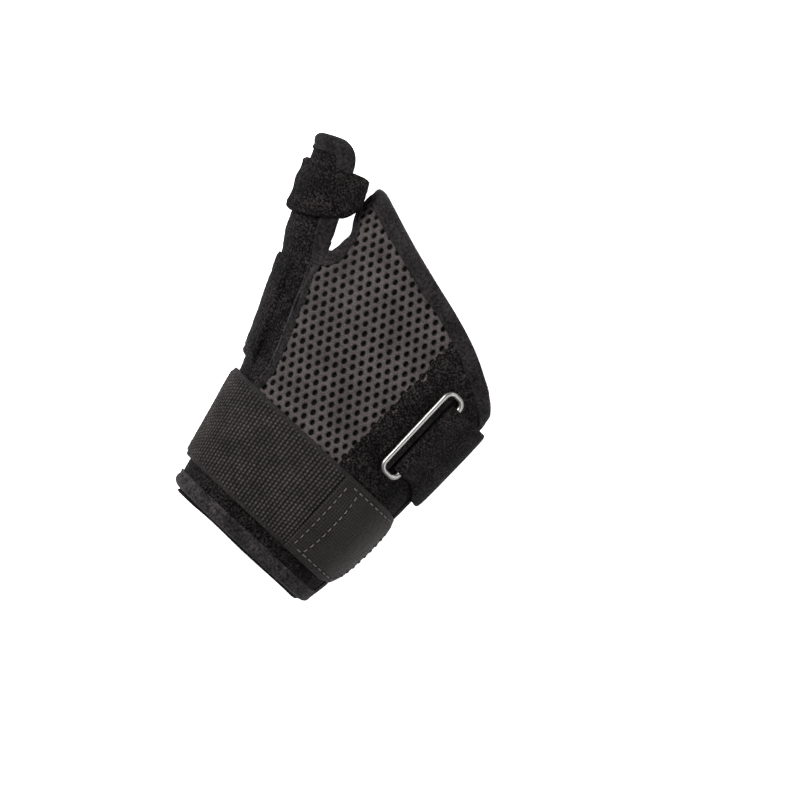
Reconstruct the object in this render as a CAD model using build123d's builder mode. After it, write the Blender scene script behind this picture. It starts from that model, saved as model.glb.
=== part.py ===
"""Wrist splint with a thumb spica, for the right hand, lying palm down.

A padded wrap closes round the wrist and palm and is open along its ulnar side. A stiffened
tongue runs up the thumb. Three straps close it: a wide elastic one round the wrist that ends in
a tab, one round the thumb, and one that passes through a wire ring at the back of the hand. A
flat stay slides into the palm side, and a bent one is sewn into the tongue.

Frame, in millimetres: +X to the ulnar side, +Y to the fingers, +Z out of the back of the hand.
The origin is on the flat underside of the wrist strap, in the middle of the wrist.
"""

import math
import os

from build123d import *

os.makedirs("parts", exist_ok=True)

# ------------------------------------------------------------------ driving dimensions
# Each layer's depth range is measured outwards from the skin surface.
LINING = (0.0, 0.8)
PADDING = (0.8, 2.4)
FACE = (2.4, 3.2)
BINDING = (-0.5, 3.7)
PATCH = (3.2, 5.5)
STRAP = (4.0, 5.5)
TAB_HOOK = (4.05, 5.4)
TAB_COVER = (5.6, 6.7)
TAIL_HOOK = (3.5, 4.05)
FLOOR_DEPTH = 5.5  # the depth whose flat underside is at Z = 0

STRAP_HALF = 16.0  # half the width of the wrist strap
STRAP_THICKNESS = 1.5
MIDDLE_Z = 21.0  # widest level, and the seam between the back and palm halves
PALM_EDGE_Z = 15.5  # free edge of the palm half on the ulnar side
CUFF_Y = -26.0
BAND_WIDTH = 5.5  # how much of each edge its binding covers
EDGE_INSET = 0.9  # how far the layers stop short inside the binding's fold
FACE_SEAM_X = 5.6  # seam between the mesh and the velour on the back

# Wrap sections along Y: radial side, ulnar side and top of the skin surface.
STATIONS = [
    (-28.0, -24.9, 25.2, 39.4),
    (-16.0, -27.6, 26.6, 41.3),
    (0.0, -31.4, 27.6, 42.8),
    (16.0, -35.2, 28.2, 42.8),
    (30.0, -40.9, 28.8, 41.8),
    (45.0, -47.6, 29.1, 40.3),
    (54.0, -51.6, 29.1, 39.1),
    (60.0, -51.4, 28.9, 38.2),
    (66.0, -48.4, 28.4, 37.3),
    (74.0, -44.6, 28.0, 36.2),
    (84.0, -42.4, 27.3, 34.9),
    (97.0, -41.5, 26.0, 33.4),
]
TOP_POWER = 2.4  # superellipse exponent of the back
SIDE_POWER = 2.1  # and of the palm side's corners
FLAT_SHARE = 0.42  # half width of the flat underside, as a share of the section's
STEP = 12.0  # degrees between the points of a section

# Outlines in plan. Where a line lies outside the wrap it cuts nothing.
BACK_EDGE = [
    (44.0, 45.0),
    (35.0, 56.0),
    (31.0, 62.6),
    (23.1, 68.3),
    (12.6, 73.9),
    (1.2, 77.9),
    (-10.8, 81.2),
    (-24.0, 85.0),
    (-38.3, 89.8),
    (-43.6, 91.6),
    (-46.0, 89.4),
    (-45.2, 81.0),
    (-42.3, 74.5),
    (-40.9, 69.0),
    (-41.6, 65.4),
    (-43.4, 64.6),
    (-45.6, 66.6),
    (-48.0, 71.5),
    (-50.5, 77.0),
]
PALM_EDGE = [
    (44.0, 55.0),
    (28.0, 63.4),
    (16.0, 70.4),
    (2.0, 75.8),
    (-12.0, 76.6),
    (-24.0, 72.5),
    (-34.0, 65.5),
    (-43.0, 58.0),
    (-52.0, 52.0),
    (-62.0, 46.5),
    (-72.0, 42.0),
]
THUMB_SEAM = [(-29.3, 14.0), (-30.5, 26.0), (-37.2, 44.2), (-41.4, 58.0), (-42.0, 72.0)]

# Thumb tube: axis in plan, leaning to the radial side. Skin half width and half height.
THUMB_ORIGIN = (-51.3, 71.1, 24.0)
THUMB_LEAN = 25.0
THUMB_SECTIONS = [(-16.0, 8.9, 8.2), (0.0, 8.5, 7.7), (14.0, 8.1, 7.3), (34.0, 7.3, 6.6)]
THUMB_START = -10.0
THUMB_TIP = 27.6
TIP_BAND = 22.1
TONGUE_ARC = (-92.0, 112.0)
THUMB_STRAP = (0.2, 18.6)
FLAP_SEAM = 132.0
FLAP_END = 6.0
THUMB_STAY_ARC = (40.0, 78.0)

# Wire ring on the back of the hand, in its own tilted plane.
RING_CENTRE = (20.2, 41.4, 40.5)
RING_TILT = 24.0
RING_SLOPE = -0.112
RING_SIZE = (6.8, 34.0)
RING_CORNER = 2.6
WIRE = 1.9
SLOT = (19.3, 22.6, 24.9, 57.9)

# Palm stay and its channel in the padding.
STAY_X = -3.0
STAY_WIDTH = 16.0
STAY_THICKNESS = 1.0
STAY_END = 68.0
STAY_Z = FLOOR_DEPTH - (PADDING[0] + PADDING[1]) / 2
SLACK = 0.25


# ------------------------------------------------------------------ the wrap's surface
def between(table, y):
    """Values of a table of (position, values...) at y, by straight lines."""
    for low, high in zip(table, table[1:]):
        if y <= high[0]:
            share = (y - low[0]) / (high[0] - low[0])
            return [a + (b - a) * share for a, b in zip(low[1:], high[1:])]
    return list(table[-1][1:])


def power(value, exponent):
    """A signed power, for superellipses."""
    return math.copysign(abs(value) ** (2 / exponent), value)


def wrap_point(y, degrees, depth):
    """(x, z) on the wrap's section at y. 0 is the ulnar side, 90 the back, 270 the palm."""
    left, right, top = between(STATIONS, y)
    middle = (left + right) / 2
    half = (right - left) / 2
    flat = half * FLAT_SHARE
    c, s = math.cos(math.radians(degrees)), math.sin(math.radians(degrees))
    if 0 <= degrees % 360 <= 180:
        across = (half + depth) * power(c, TOP_POWER)
        return middle + across, MIDDLE_Z + (top - MIDDLE_Z + depth) * power(s, TOP_POWER)
    across = (half + depth - flat) * power(c, SIDE_POWER)
    low = MIDDLE_Z - FLOOR_DEPTH + depth
    side = flat if degrees % 360 > 270 else -flat
    return middle + side + across, MIDDLE_Z + low * power(s, SIDE_POWER)


def angle_at(y, x, depth):
    """Section angle, on the back, of plan position x."""
    left, right, _ = between(STATIONS, y)
    share = (x - (left + right) / 2) / ((right - left) / 2 + depth)
    share = max(-1.0, min(1.0, share))
    return math.degrees(math.acos(math.copysign(abs(share) ** (TOP_POWER / 2), share)))


def spread(start, end, step=STEP):
    """Values from start to end, about a step apart."""
    count = max(2, math.ceil(abs(end - start) / step))
    return [start + (end - start) * i / count for i in range(count + 1)]


def depth_at(depth, degrees):
    """A layer depth, which may be a function of the angle."""
    return depth(degrees) if callable(depth) else depth


def value_at(value, y):
    """A limit, which may be a function of the position along Y."""
    return value(y) if callable(value) else value


def trace(point, start, end):
    """Edges along a section from start to end, with a straight one along the underside."""
    if start < 270 < end:
        near = [point(a) for a in spread(start, 269.999)]
        far = [point(a) for a in spread(270.001, end)]
        Spline(near)
        Line(near[-1], far[0])
        Spline(far)
        return near[0], far[-1]
    line = [point(a) for a in spread(start, end)]
    Spline(line)
    return line[0], line[-1]


def rows_between(table, low, high):
    """Positions of the table's rows between two limits, with the limits themselves."""
    return [low] + [row[0] for row in table if low + 0.5 < row[0] < high - 0.5] + [high]


def band(depths, start, end, stations):
    """A strip of the wrap between two depths and two angles, at stations along Y."""
    inner, outer = depths
    with BuildPart() as strip:
        for y in stations:
            first, last = value_at(start, y), value_at(end, y)
            with BuildSketch(Plane.XZ.offset(-y)):
                with BuildLine():
                    a, b = trace(lambda d: wrap_point(y, d, depth_at(outer, d)), first, last)
                    c, e = trace(lambda d: wrap_point(y, d, depth_at(inner, d)), first, last)
                    Line(a, c)
                    Line(b, e)
                make_face()
        loft(ruled=True)
    return strip.part


def ribbon(line_at, thickness, stations):
    """A strip that follows a centre line given for each station along Y."""
    with BuildPart() as strip:
        for y in stations:
            line = line_at(y)
            sides = []
            for i, (x, z) in enumerate(line):
                (x0, z0), (x1, z1) = line[max(i - 1, 0)], line[min(i + 1, len(line) - 1)]
                size = math.hypot(x1 - x0, z1 - z0)
                nx, nz = -(z1 - z0) / size, (x1 - x0) / size
                reach = thickness / 2
                sides.append(((x + nx * reach, z + nz * reach), (x - nx * reach, z - nz * reach)))
            with BuildSketch(Plane.XZ.offset(-y)):
                with BuildLine():
                    Spline([side[0] for side in sides])
                    Spline([side[1] for side in sides])
                    Line(sides[0][0], sides[0][1])
                    Line(sides[-1][0], sides[-1][1])
                make_face()
        loft(ruled=True)
    return strip.part


# ------------------------------------------------------------------ the thumb's surface
LEAN = math.radians(THUMB_LEAN)
THUMB_AXIS = (-math.sin(LEAN), math.cos(LEAN), 0.0)
THUMB_OUT = (-math.cos(LEAN), -math.sin(LEAN), 0.0)
THUMB_PLANE = Plane(origin=THUMB_ORIGIN, x_dir=THUMB_OUT, z_dir=THUMB_AXIS)


def tube_point(along, degrees, depth):
    """Local (out, up) on the thumb's section. 0 is its radial side, 90 its back."""
    half, high = between(THUMB_SECTIONS, along)
    turn = math.radians(degrees)
    return (half + depth) * math.cos(turn), (high + depth) * math.sin(turn)


def tube_band(depths, start, end, low, high):
    """A strip round the thumb between two depths, two angles and two positions along it."""
    inner, outer = depths
    with BuildPart() as strip:
        for along in rows_between(THUMB_SECTIONS, low, high):
            first, last = value_at(start, along), value_at(end, along)
            with BuildSketch(THUMB_PLANE.offset(along)):
                with BuildLine():
                    out = [tube_point(along, d, depth_at(outer, d)) for d in spread(first, last)]
                    back = [tube_point(along, d, depth_at(inner, d)) for d in spread(first, last)]
                    Spline(out)
                    Spline(back)
                    Line(out[0], back[0])
                    Line(out[-1], back[-1])
                make_face()
        loft(ruled=True)
    return strip.part


def tube_form(depth, low, high):
    """The solid inside the thumb's surface at a depth."""
    with BuildPart() as form:
        for along in rows_between(THUMB_SECTIONS, low, high):
            half, up = between(THUMB_SECTIONS, along)
            with BuildSketch(THUMB_PLANE.offset(along)):
                Ellipse(half + depth, up + depth)
        loft(ruled=True)
    return form.part


# ------------------------------------------------------------------ outlines
def drawn_in(edge, inset):
    """An edge line moved towards the wrap's middle, without the loops a tight corner makes."""
    curve = Edge.make_spline([Vector(x, y, 0) for x, y in edge])
    count = 240
    along = [(curve @ (i / count), curve % (i / count)) for i in range(count + 1)]
    moved = [Vector(p.X - d.Y * inset, p.Y + d.X * inset, 0) for p, d in along]
    clear = [m for m in moved if min((m - p).length for p, _ in along) > inset - 0.02]
    kept = [clear[0]]
    for m in clear:
        if (m - kept[-1]).length > 3.2:
            kept.append(m)
    return [(m.X, m.Y) for m in kept]


def plan(edge, inset):
    """An outline in plan: the given edge line, drawn in, then closed round the cuff."""
    line = drawn_in(edge, inset) if inset else edge
    cuff = CUFF_Y + inset
    with BuildSketch() as sketch:
        with BuildLine():
            Spline(line)
            Polyline(
                line[-1], (-80, line[-1][1]), (-80, cuff), (60, cuff), (60, line[0][1]), line[0]
            )
        make_face()
    return sketch.sketch


def trim_solid(edge, inset, low, high):
    """The upright solid over an outline, between two heights."""
    with BuildPart() as solid:
        with BuildSketch(Plane.XY.offset(low)):
            add(plan(edge, inset))
        extrude(amount=high - low)
    return solid.part


def cuboid(x0, x1, y0, y1, z0, z1):
    """A box between limits."""
    with BuildPart() as solid:
        with Locations(((x0 + x1) / 2, (y0 + y1) / 2, (z0 + z1) / 2)):
            Box(x1 - x0, y1 - y0, z1 - z0)
    return solid.part


# ------------------------------------------------------------------ solids that trim the layers
STEPS = [row[0] for row in STATIONS]
THUMB_CUT = tube_form(BINDING[1] + 0.05, THUMB_START, 33.5)
ULNAR = (0.0, 60.0, -60.0, 120.0)

back_body = trim_solid(BACK_EDGE, 0, MIDDLE_Z - 5, 60)
back_core = trim_solid(BACK_EDGE, EDGE_INSET, MIDDLE_Z - 5, 60)
back_core = back_core - cuboid(*ULNAR, 0, MIDDLE_Z + EDGE_INSET)
back_field = trim_solid(BACK_EDGE, BAND_WIDTH, MIDDLE_Z - 5, 60)
back_field = back_field - cuboid(*ULNAR, 0, MIDDLE_Z + BAND_WIDTH)

palm_body = trim_solid(PALM_EDGE, 0, -5, MIDDLE_Z + 5) - cuboid(*ULNAR, PALM_EDGE_Z, 60)
palm_core = trim_solid(PALM_EDGE, EDGE_INSET, -5, MIDDLE_Z + 5)
palm_core = palm_core - cuboid(*ULNAR, PALM_EDGE_Z - EDGE_INSET, 60)
palm_field = trim_solid(PALM_EDGE, BAND_WIDTH, -5, MIDDLE_Z + 5)
palm_field = palm_field - cuboid(*ULNAR, PALM_EDGE_Z - BAND_WIDTH, 60)

slot_cut = cuboid(*SLOT, 10, 60)
stay_sides = (STAY_X - STAY_WIDTH / 2 - SLACK, STAY_X + STAY_WIDTH / 2 + SLACK)
stay_channel = cuboid(*stay_sides, CUFF_Y - 10, STAY_END + SLACK, STAY_Z - 1.3, STAY_Z + 1.3)
stay_mouth = cuboid(*stay_sides, CUFF_Y - 10, CUFF_Y + 10, STAY_Z - 0.85, STAY_Z + 0.85)

with BuildPart() as face_left:
    with BuildSketch(Plane.XY.offset(0)):
        Polygon(*THUMB_SEAM, (-90, 72), (-90, -40), (-29.3, -40), align=None)
    extrude(amount=60)
thumb_side = face_left.part
ulnar_side = cuboid(FACE_SEAM_X, 60, -60, 120, 0, 60)


def back_part(depths, trim):
    """A layer of the back half, trimmed to shape and cut for the thumb and the ring slot."""
    with BuildPart() as layer:
        add(band(depths, 0.0, 180.0, STEPS))
        add(trim, mode=Mode.INTERSECT)
        add(THUMB_CUT, mode=Mode.SUBTRACT)
        add(slot_cut, mode=Mode.SUBTRACT)
    return layer.part


def palm_part(depths, trim):
    """A layer of the palm half, trimmed to shape and cut for the thumb."""
    with BuildPart() as layer:
        add(band(depths, 180.0, 350.0, STEPS))
        add(trim, mode=Mode.INTERSECT)
        add(THUMB_CUT, mode=Mode.SUBTRACT)
    return layer.part


def edge_fold(layer, core_layer, body, field, core):
    """The binding round a half's edges: a fold with the layers' edge inside it."""
    with BuildPart() as fold:
        add(layer)
        add(body, mode=Mode.INTERSECT)
        add(field, mode=Mode.SUBTRACT)
        add(core_layer & core, mode=Mode.SUBTRACT)
        add(THUMB_CUT, mode=Mode.SUBTRACT)
    return fold.part


# ------------------------------------------------------------------ back half
with BuildPart() as lining_back:
    add(back_part(LINING, back_core))
lining_back.part.label = "lining_back"
export_step(lining_back.part, "parts/lining_back.step")

with BuildPart() as padding_back:
    add(back_part(PADDING, back_core))
padding_back.part.label = "padding_back"
export_step(padding_back.part, "parts/padding_back.step")

face = back_part(FACE, back_core)

with BuildPart() as mesh_panel:
    add(face)
    add(ulnar_side, mode=Mode.SUBTRACT)
    add(thumb_side, mode=Mode.SUBTRACT)
mesh_panel.part.label = "mesh_panel"
export_step(mesh_panel.part, "parts/mesh_panel.step")

with BuildPart() as ulnar_panel:
    add(face)
    add(ulnar_side, mode=Mode.INTERSECT)
ulnar_panel.part.label = "ulnar_panel"
export_step(ulnar_panel.part, "parts/ulnar_panel.step")

with BuildPart() as thumb_panel:
    add(face)
    add(thumb_side, mode=Mode.INTERSECT)
thumb_panel.part.label = "thumb_panel"
export_step(thumb_panel.part, "parts/thumb_panel.step")

back_fold = edge_fold(
    band(BINDING, 0.0, 180.0, STEPS),
    band((LINING[0], FACE[1]), 0.0, 180.0, STEPS),
    back_body,
    back_field,
    back_core,
)
cuff_strip = cuboid(-90, 60, CUFF_Y - 5, CUFF_Y + BAND_WIDTH, -10, 60)
opening_zone = cuboid(-60, -34.6, 50, 85.5, 0, 60)

with BuildPart() as cuff_binding_back:
    add(back_fold)
    add(cuff_strip, mode=Mode.INTERSECT)
cuff_binding_back.part.label = "cuff_binding_back"
export_step(cuff_binding_back.part, "parts/cuff_binding_back.step")

with BuildPart() as opening_fold:
    add(back_fold)
    add(opening_zone, mode=Mode.INTERSECT)
    add(tube_form(6.0, THUMB_STRAP[0] - 0.3, THUMB_STRAP[1] + 0.3), mode=Mode.SUBTRACT)
with BuildPart() as opening_binding:
    add(opening_fold.part.solids().sort_by(SortBy.VOLUME)[-1])
opening_binding.part.label = "opening_binding"
export_step(opening_binding.part, "parts/opening_binding.step")

with BuildPart() as distal_binding:
    add(back_fold)
    add(cuff_strip, mode=Mode.SUBTRACT)
    add(opening_zone, mode=Mode.SUBTRACT)
distal_binding.part.label = "distal_binding"
export_step(distal_binding.part, "parts/distal_binding.step")

# The pocket on the radial side that holds the lower end of the thumb's stay.
with BuildPart() as radial_pocket:
    add(band((FACE[1] + 0.05, FACE[1] + 1.85), 149.0, 202.0, [21.0, 30.0, 45.0, 51.0]))
    add(cuboid(-60, -40, 45.5, 55, 0, 21.3), mode=Mode.SUBTRACT)
radial_pocket.part.label = "radial_pocket"
export_step(radial_pocket.part, "parts/radial_pocket.step")

# ------------------------------------------------------------------ palm half
with BuildPart() as lining_palm:
    add(palm_part(LINING, palm_core))
lining_palm.part.label = "lining_palm"
export_step(lining_palm.part, "parts/lining_palm.step")

with BuildPart() as padding_palm:
    add(palm_part(PADDING, palm_core))
    add(stay_channel, mode=Mode.SUBTRACT)
padding_palm.part.label = "padding_palm"
export_step(padding_palm.part, "parts/padding_palm.step")

with BuildPart() as palm_panel:
    add(palm_part(FACE, palm_core))
palm_panel.part.label = "palm_panel"
export_step(palm_panel.part, "parts/palm_panel.step")

palm_fold = edge_fold(
    band(BINDING, 180.0, 350.0, STEPS),
    band((LINING[0], FACE[1]), 180.0, 350.0, STEPS),
    palm_body,
    palm_field,
    palm_core,
)

with BuildPart() as cuff_binding_palm:
    add(palm_fold)
    add(cuff_strip, mode=Mode.INTERSECT)
    add(stay_mouth, mode=Mode.SUBTRACT)
cuff_binding_palm.part.label = "cuff_binding_palm"
export_step(cuff_binding_palm.part, "parts/cuff_binding_palm.step")

with BuildPart() as palm_binding:
    add(palm_fold)
    add(cuff_strip, mode=Mode.SUBTRACT)
palm_binding.part.label = "palm_binding"
export_step(palm_binding.part, "parts/palm_binding.step")

# A pad under the palm carries the wrap level with the wrist strap.
with BuildPart() as palm_pad:
    with BuildSketch():
        with Locations((-5, 44)):
            RectangleRounded(28, 44, 6)
    extrude(amount=FLOOR_DEPTH - PATCH[0])
palm_pad.part.label = "palm_pad"
export_step(palm_pad.part, "parts/palm_pad.step")

# ------------------------------------------------------------------ palm stay
BAR_INSET = 8.0

with BuildPart() as palm_stay:
    with Locations((STAY_X, (CUFF_Y + 1 + STAY_END) / 2, STAY_Z)):
        Box(STAY_WIDTH - 1, STAY_END - CUFF_Y - 1 - 2 * BAR_INSET, STAY_THICKNESS - 0.1)
palm_stay.part.label = "palm_stay"
export_step(palm_stay.part, "parts/palm_stay.step")

with BuildPart() as palm_stay_tips:
    with BuildSketch(Plane.XY.offset(STAY_Z - STAY_THICKNESS / 2)):
        with Locations((STAY_X, (CUFF_Y + 1 + STAY_END) / 2)):
            RectangleRounded(STAY_WIDTH, STAY_END - CUFF_Y - 1, 5)
            Rectangle(
                STAY_WIDTH + 1, STAY_END - CUFF_Y - 1 - 2 * BAR_INSET, mode=Mode.SUBTRACT
            )
    extrude(amount=STAY_THICKNESS)
palm_stay_tips.part.label = "palm_stay_tips"
export_step(palm_stay_tips.part, "parts/palm_stay_tips.step")


# ------------------------------------------------------------------ thumb tongue
FOLD_TURN = 5.0  # degrees that match EDGE_INSET on the thumb
BAND_TURN = 20.0  # and BAND_WIDTH
LOW, HIGH = TONGUE_ARC


def tongue_layer(depths):
    """One layer of the tongue, inside its binding's fold."""
    return tube_band(
        depths, LOW + FOLD_TURN, HIGH - FOLD_TURN, THUMB_START, THUMB_TIP - EDGE_INSET
    )


with BuildPart() as tongue_lining:
    add(tongue_layer(LINING))
tongue_lining.part.label = "tongue_lining"
export_step(tongue_lining.part, "parts/tongue_lining.step")

stay_low, stay_high = THUMB_STAY_ARC
with BuildPart() as tongue_padding:
    add(tongue_layer(PADDING))
    add(
        tube_band((0.7, 2.5), stay_low - 2, stay_high + 2, THUMB_START - 1, TIP_BAND - 1),
        mode=Mode.SUBTRACT,
    )
tongue_padding.part.label = "tongue_padding"
export_step(tongue_padding.part, "parts/tongue_padding.step")

with BuildPart() as thumb_stay:
    add(tube_band((1.1, 2.1), stay_low, stay_high, THUMB_START + 0.5, TIP_BAND - 1.5))
thumb_stay.part.label = "thumb_stay"
export_step(thumb_stay.part, "parts/thumb_stay.step")

with BuildPart() as tongue_velour:
    add(tongue_layer(FACE))
tongue_velour.part.label = "tongue_velour"
export_step(tongue_velour.part, "parts/tongue_velour.step")

with BuildPart() as tongue_fold:
    add(tube_band(BINDING, LOW, HIGH, THUMB_START, THUMB_TIP))
    add(tongue_layer((LINING[0], FACE[1])), mode=Mode.SUBTRACT)
    add(
        tube_band((-0.6, 3.8), LOW + BAND_TURN, HIGH - BAND_TURN, THUMB_START - 1, TIP_BAND),
        mode=Mode.SUBTRACT,
    )
tip_zone = tube_band((-3, 8), -170, 170, TIP_BAND, THUMB_TIP + 1)

with BuildPart() as tongue_tip_binding:
    add(tongue_fold.part)
    add(tip_zone, mode=Mode.INTERSECT)
tongue_tip_binding.part.label = "tongue_tip_binding"
export_step(tongue_tip_binding.part, "parts/tongue_tip_binding.step")

with BuildPart() as tongue_side_bindings:
    add(tongue_fold.part)
    add(tip_zone, mode=Mode.SUBTRACT)
tongue_side_bindings.part.label = "tongue_side_bindings"
export_step(tongue_side_bindings.part, "parts/tongue_side_bindings.step")


# ------------------------------------------------------------------ thumb strap
def ramp(value, table):
    """A value read off a table of (position, value) by straight lines."""
    for (a, low), (b, high) in zip(table, table[1:]):
        if value <= b:
            share = min(1.0, max(0.0, (value - a) / (b - a)))
            return low + (high - low) * share
    return table[-1][1]


THUMB_ROOT_DEPTH = [(136, 4.0), (156, 0.6), (236, 0.6), (256, 3.9), (290, 3.9), (350, 3.4)]


def thumb_root_inner(degrees):
    """The thumb strap lies on the skin between the tongue's edges, and on the tongue."""
    return ramp(degrees, THUMB_ROOT_DEPTH)


def thumb_plan(along, out):
    """A place in plan from positions along the thumb and out to its radial side."""
    return (
        THUMB_ORIGIN[0] + THUMB_AXIS[0] * along + THUMB_OUT[0] * out,
        THUMB_ORIGIN[1] + THUMB_AXIS[1] * along + THUMB_OUT[1] * out,
    )


# The strap's lower edge rises towards the hand, and its upper edge falls a little.
with BuildPart() as strap_wedges:
    with BuildSketch(Plane.XY):
        Polygon(
            thumb_plan(-8, 4), thumb_plan(0.1, 4), thumb_plan(7.2, -20), thumb_plan(-8, -20),
            align=None,
        )
        Polygon(
            thumb_plan(30, 4), thumb_plan(18.7, 4), thumb_plan(15.6, -20), thumb_plan(30, -20),
            align=None,
        )
    extrude(amount=60)

with BuildPart() as thumb_strap_root:
    add(
        tube_band(
            (thumb_root_inner, lambda d: thumb_root_inner(d) + STRAP_THICKNESS),
            FLAP_SEAM + 1.5,
            350.0,
            *THUMB_STRAP,
        )
    )
    add(strap_wedges.part, mode=Mode.SUBTRACT)
thumb_strap_root.part.label = "thumb_strap_root"
export_step(thumb_strap_root.part, "parts/thumb_strap_root.step")

with BuildPart() as thumb_strap_flap:
    add(tube_band((4.0, 4.0 + STRAP_THICKNESS), FLAP_END, FLAP_SEAM - 0.5, *THUMB_STRAP))
    add(strap_wedges.part, mode=Mode.SUBTRACT)
thumb_strap_flap.part.label = "thumb_strap_flap"
export_step(thumb_strap_flap.part, "parts/thumb_strap_flap.step")

with BuildPart() as thumb_strap_hook:
    add(tube_band((3.5, 3.98), FLAP_END + 6, 58.0, THUMB_STRAP[0] + 2, THUMB_STRAP[1] - 2))
thumb_strap_hook.part.label = "thumb_strap_hook"
export_step(thumb_strap_hook.part, "parts/thumb_strap_hook.step")

# ------------------------------------------------------------------ wire ring and its slot
tilt = math.radians(RING_TILT)
ring_x = (math.cos(tilt), 0.0, -math.sin(tilt))
ring_y = (0.0, 1.0, RING_SLOPE)
ring_normal = Vector(*ring_x).cross(Vector(*ring_y))
ring_plane = Plane(origin=RING_CENTRE, x_dir=Vector(*ring_y).cross(ring_normal), z_dir=ring_normal)

with BuildPart() as slot_ring:
    w, h = RING_SIZE[0] / 2, RING_SIZE[1] / 2
    with BuildLine(ring_plane) as path:
        FilletPolyline((-w, h), (w, h), (w, -h), (-w, -h), radius=RING_CORNER, close=True)
    side = path.edges().sort_by(SortBy.LENGTH)[-1]
    with BuildSketch(Plane(origin=side @ 0.5, z_dir=side % 0.5)):
        Circle(WIRE / 2)
    sweep(path=path.wires()[0])
slot_ring.part.label = "slot_ring"
export_step(slot_ring.part, "parts/slot_ring.step")

with BuildPart() as slot_welt:
    add(band((FACE[1], FACE[1] + 0.35), 0.0, 180.0, [16.0, 30.0, 45.0, 54.0, 60.0, 66.0]))
    add(
        cuboid(SLOT[0] - 1.2, SLOT[1] + 1.2, SLOT[2] - 1.2, SLOT[3] + 1.2, 20, 60),
        mode=Mode.INTERSECT,
    )
    add(slot_cut, mode=Mode.SUBTRACT)
slot_welt.part.label = "slot_welt"
export_step(slot_welt.part, "parts/slot_welt.step")

# ------------------------------------------------------------------ hand strap
HAND_STRAP_Y = [27.2, 30.0, 45.0, 54.0, 55.4]
TAIL_Y = [22.6, 30.0, 45.0, 54.0, 55.4]
TAIL_BULGE = [(-50, 0.0), (-36, 0.1), (-22, 1.0), (-5, 1.4), (12, 1.2), (28, 0.4), (40, 0.0)]
BAR_X = RING_CENTRE[0] + RING_SIZE[0] / 2 * math.cos(tilt)
LOOP = WIRE / 2 + 0.3 + STRAP_THICKNESS / 2
TAIL_DEPTH = 4.05 + STRAP_THICKNESS / 2
UNDER_DEPTH = -0.6 - STRAP_THICKNESS / 2


def bar_z(y):
    """Height of the ring's ulnar bar."""
    return RING_CENTRE[2] - RING_SIZE[0] / 2 * math.sin(tilt) + RING_SLOPE * (y - RING_CENTRE[1])


def on_loop(y, degrees):
    """A point of the strap's centre line where it bends round the bar."""
    turn = math.radians(degrees)
    return BAR_X + LOOP * math.cos(turn), bar_z(y) + LOOP * math.sin(turn)


def under_line(y):
    """Centre line from the palm wing, inside the back wing, up through the slot, over the bar."""
    line = [wrap_point(y, d, UNDER_DEPTH) for d in spread(-42.0, angle_at(y, 25.6, UNDER_DEPTH))]
    low = wrap_point(y, angle_at(y, 23.4, UNDER_DEPTH), UNDER_DEPTH)
    line.append((low[0], low[1] + 0.1))
    line.append((BAR_X - LOOP + 0.35, low[1] + 1.3))
    line.append((BAR_X - LOOP, bar_z(y) - 1.6))
    return line + [on_loop(y, d) for d in (180, 150, 120, 90, 72, 56)]


def tail_depth(degrees):
    """The strap's end stands off the ulnar side, and lies close where its hooks hold."""
    return TAIL_DEPTH + ramp(degrees, TAIL_BULGE)


def tail_line(y):
    """Centre line from the bar, back over the wing and round the ulnar side."""
    line = [on_loop(y, 40), on_loop(y, 18)]
    return line + [
        wrap_point(y, d, tail_depth(d)) for d in spread(angle_at(y, 28.0, TAIL_DEPTH), -50.0, 9.0)
    ]


with BuildPart() as hand_strap_root:
    add(ribbon(under_line, STRAP_THICKNESS, HAND_STRAP_Y))
hand_strap_root.part.label = "hand_strap_root"
export_step(hand_strap_root.part, "parts/hand_strap_root.step")

with BuildPart() as hand_strap_tail:
    add(ribbon(tail_line, STRAP_THICKNESS, TAIL_Y))
    add(cuboid(15, 27.0, 20, HAND_STRAP_Y[0], 20, 60), mode=Mode.SUBTRACT)
hand_strap_tail.part.label = "hand_strap_tail"
export_step(hand_strap_tail.part, "parts/hand_strap_tail.step")

with BuildPart() as hand_strap_hook:
    add(band(TAIL_HOOK, -49.0, -37.0, [28.0, 30.0, 45.0, 54.0]))
hand_strap_hook.part.label = "hand_strap_hook"
export_step(hand_strap_hook.part, "parts/hand_strap_hook.step")

# ------------------------------------------------------------------ wrist strap and tab
WRIST_Y = [-STRAP_HALF, 0.0, STRAP_HALF]
STRAP_FOLD = 172.0
TAB_EDGE_X = 11.3
TAB_SEAM_X = 19.7
STRAP_ROOT_DEPTH = [(282, STRAP[0]), (302, FACE[1] + 0.1)]


def strap_root_inner(degrees):
    """The strap's root clears the wrap and comes down onto it where it is sewn."""
    return ramp(degrees, STRAP_ROOT_DEPTH)


def tab_end(y, reach, corner):
    """Section angle of the tab's rounded free end."""
    over = max(0.0, abs(y) - (reach - corner))
    return (corner - math.sqrt(max(0.0, corner**2 - over**2))) / 0.62


with BuildPart() as wrist_strap_root:
    add(
        band(
            (strap_root_inner, lambda d: strap_root_inner(d) + STRAP_THICKNESS),
            STRAP_FOLD + 0.5,
            306.0,
            WRIST_Y,
        )
    )
wrist_strap_root.part.label = "wrist_strap_root"
export_step(wrist_strap_root.part, "parts/wrist_strap_root.step")

with BuildPart() as wrist_strap_span:
    add(band(STRAP, lambda y: angle_at(y, TAB_SEAM_X - 0.4, STRAP[0]), STRAP_FOLD, WRIST_Y))
wrist_strap_span.part.label = "wrist_strap_span"
export_step(wrist_strap_span.part, "parts/wrist_strap_span.step")

with BuildPart() as tab_root:
    add(
        band(
            TAB_COVER,
            lambda y: angle_at(y, TAB_SEAM_X - 0.2, TAB_COVER[0]),
            lambda y: angle_at(y, TAB_EDGE_X, TAB_COVER[0]),
            WRIST_Y,
        )
    )
tab_root.part.label = "tab_root"
export_step(tab_root.part, "parts/tab_root.step")

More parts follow.
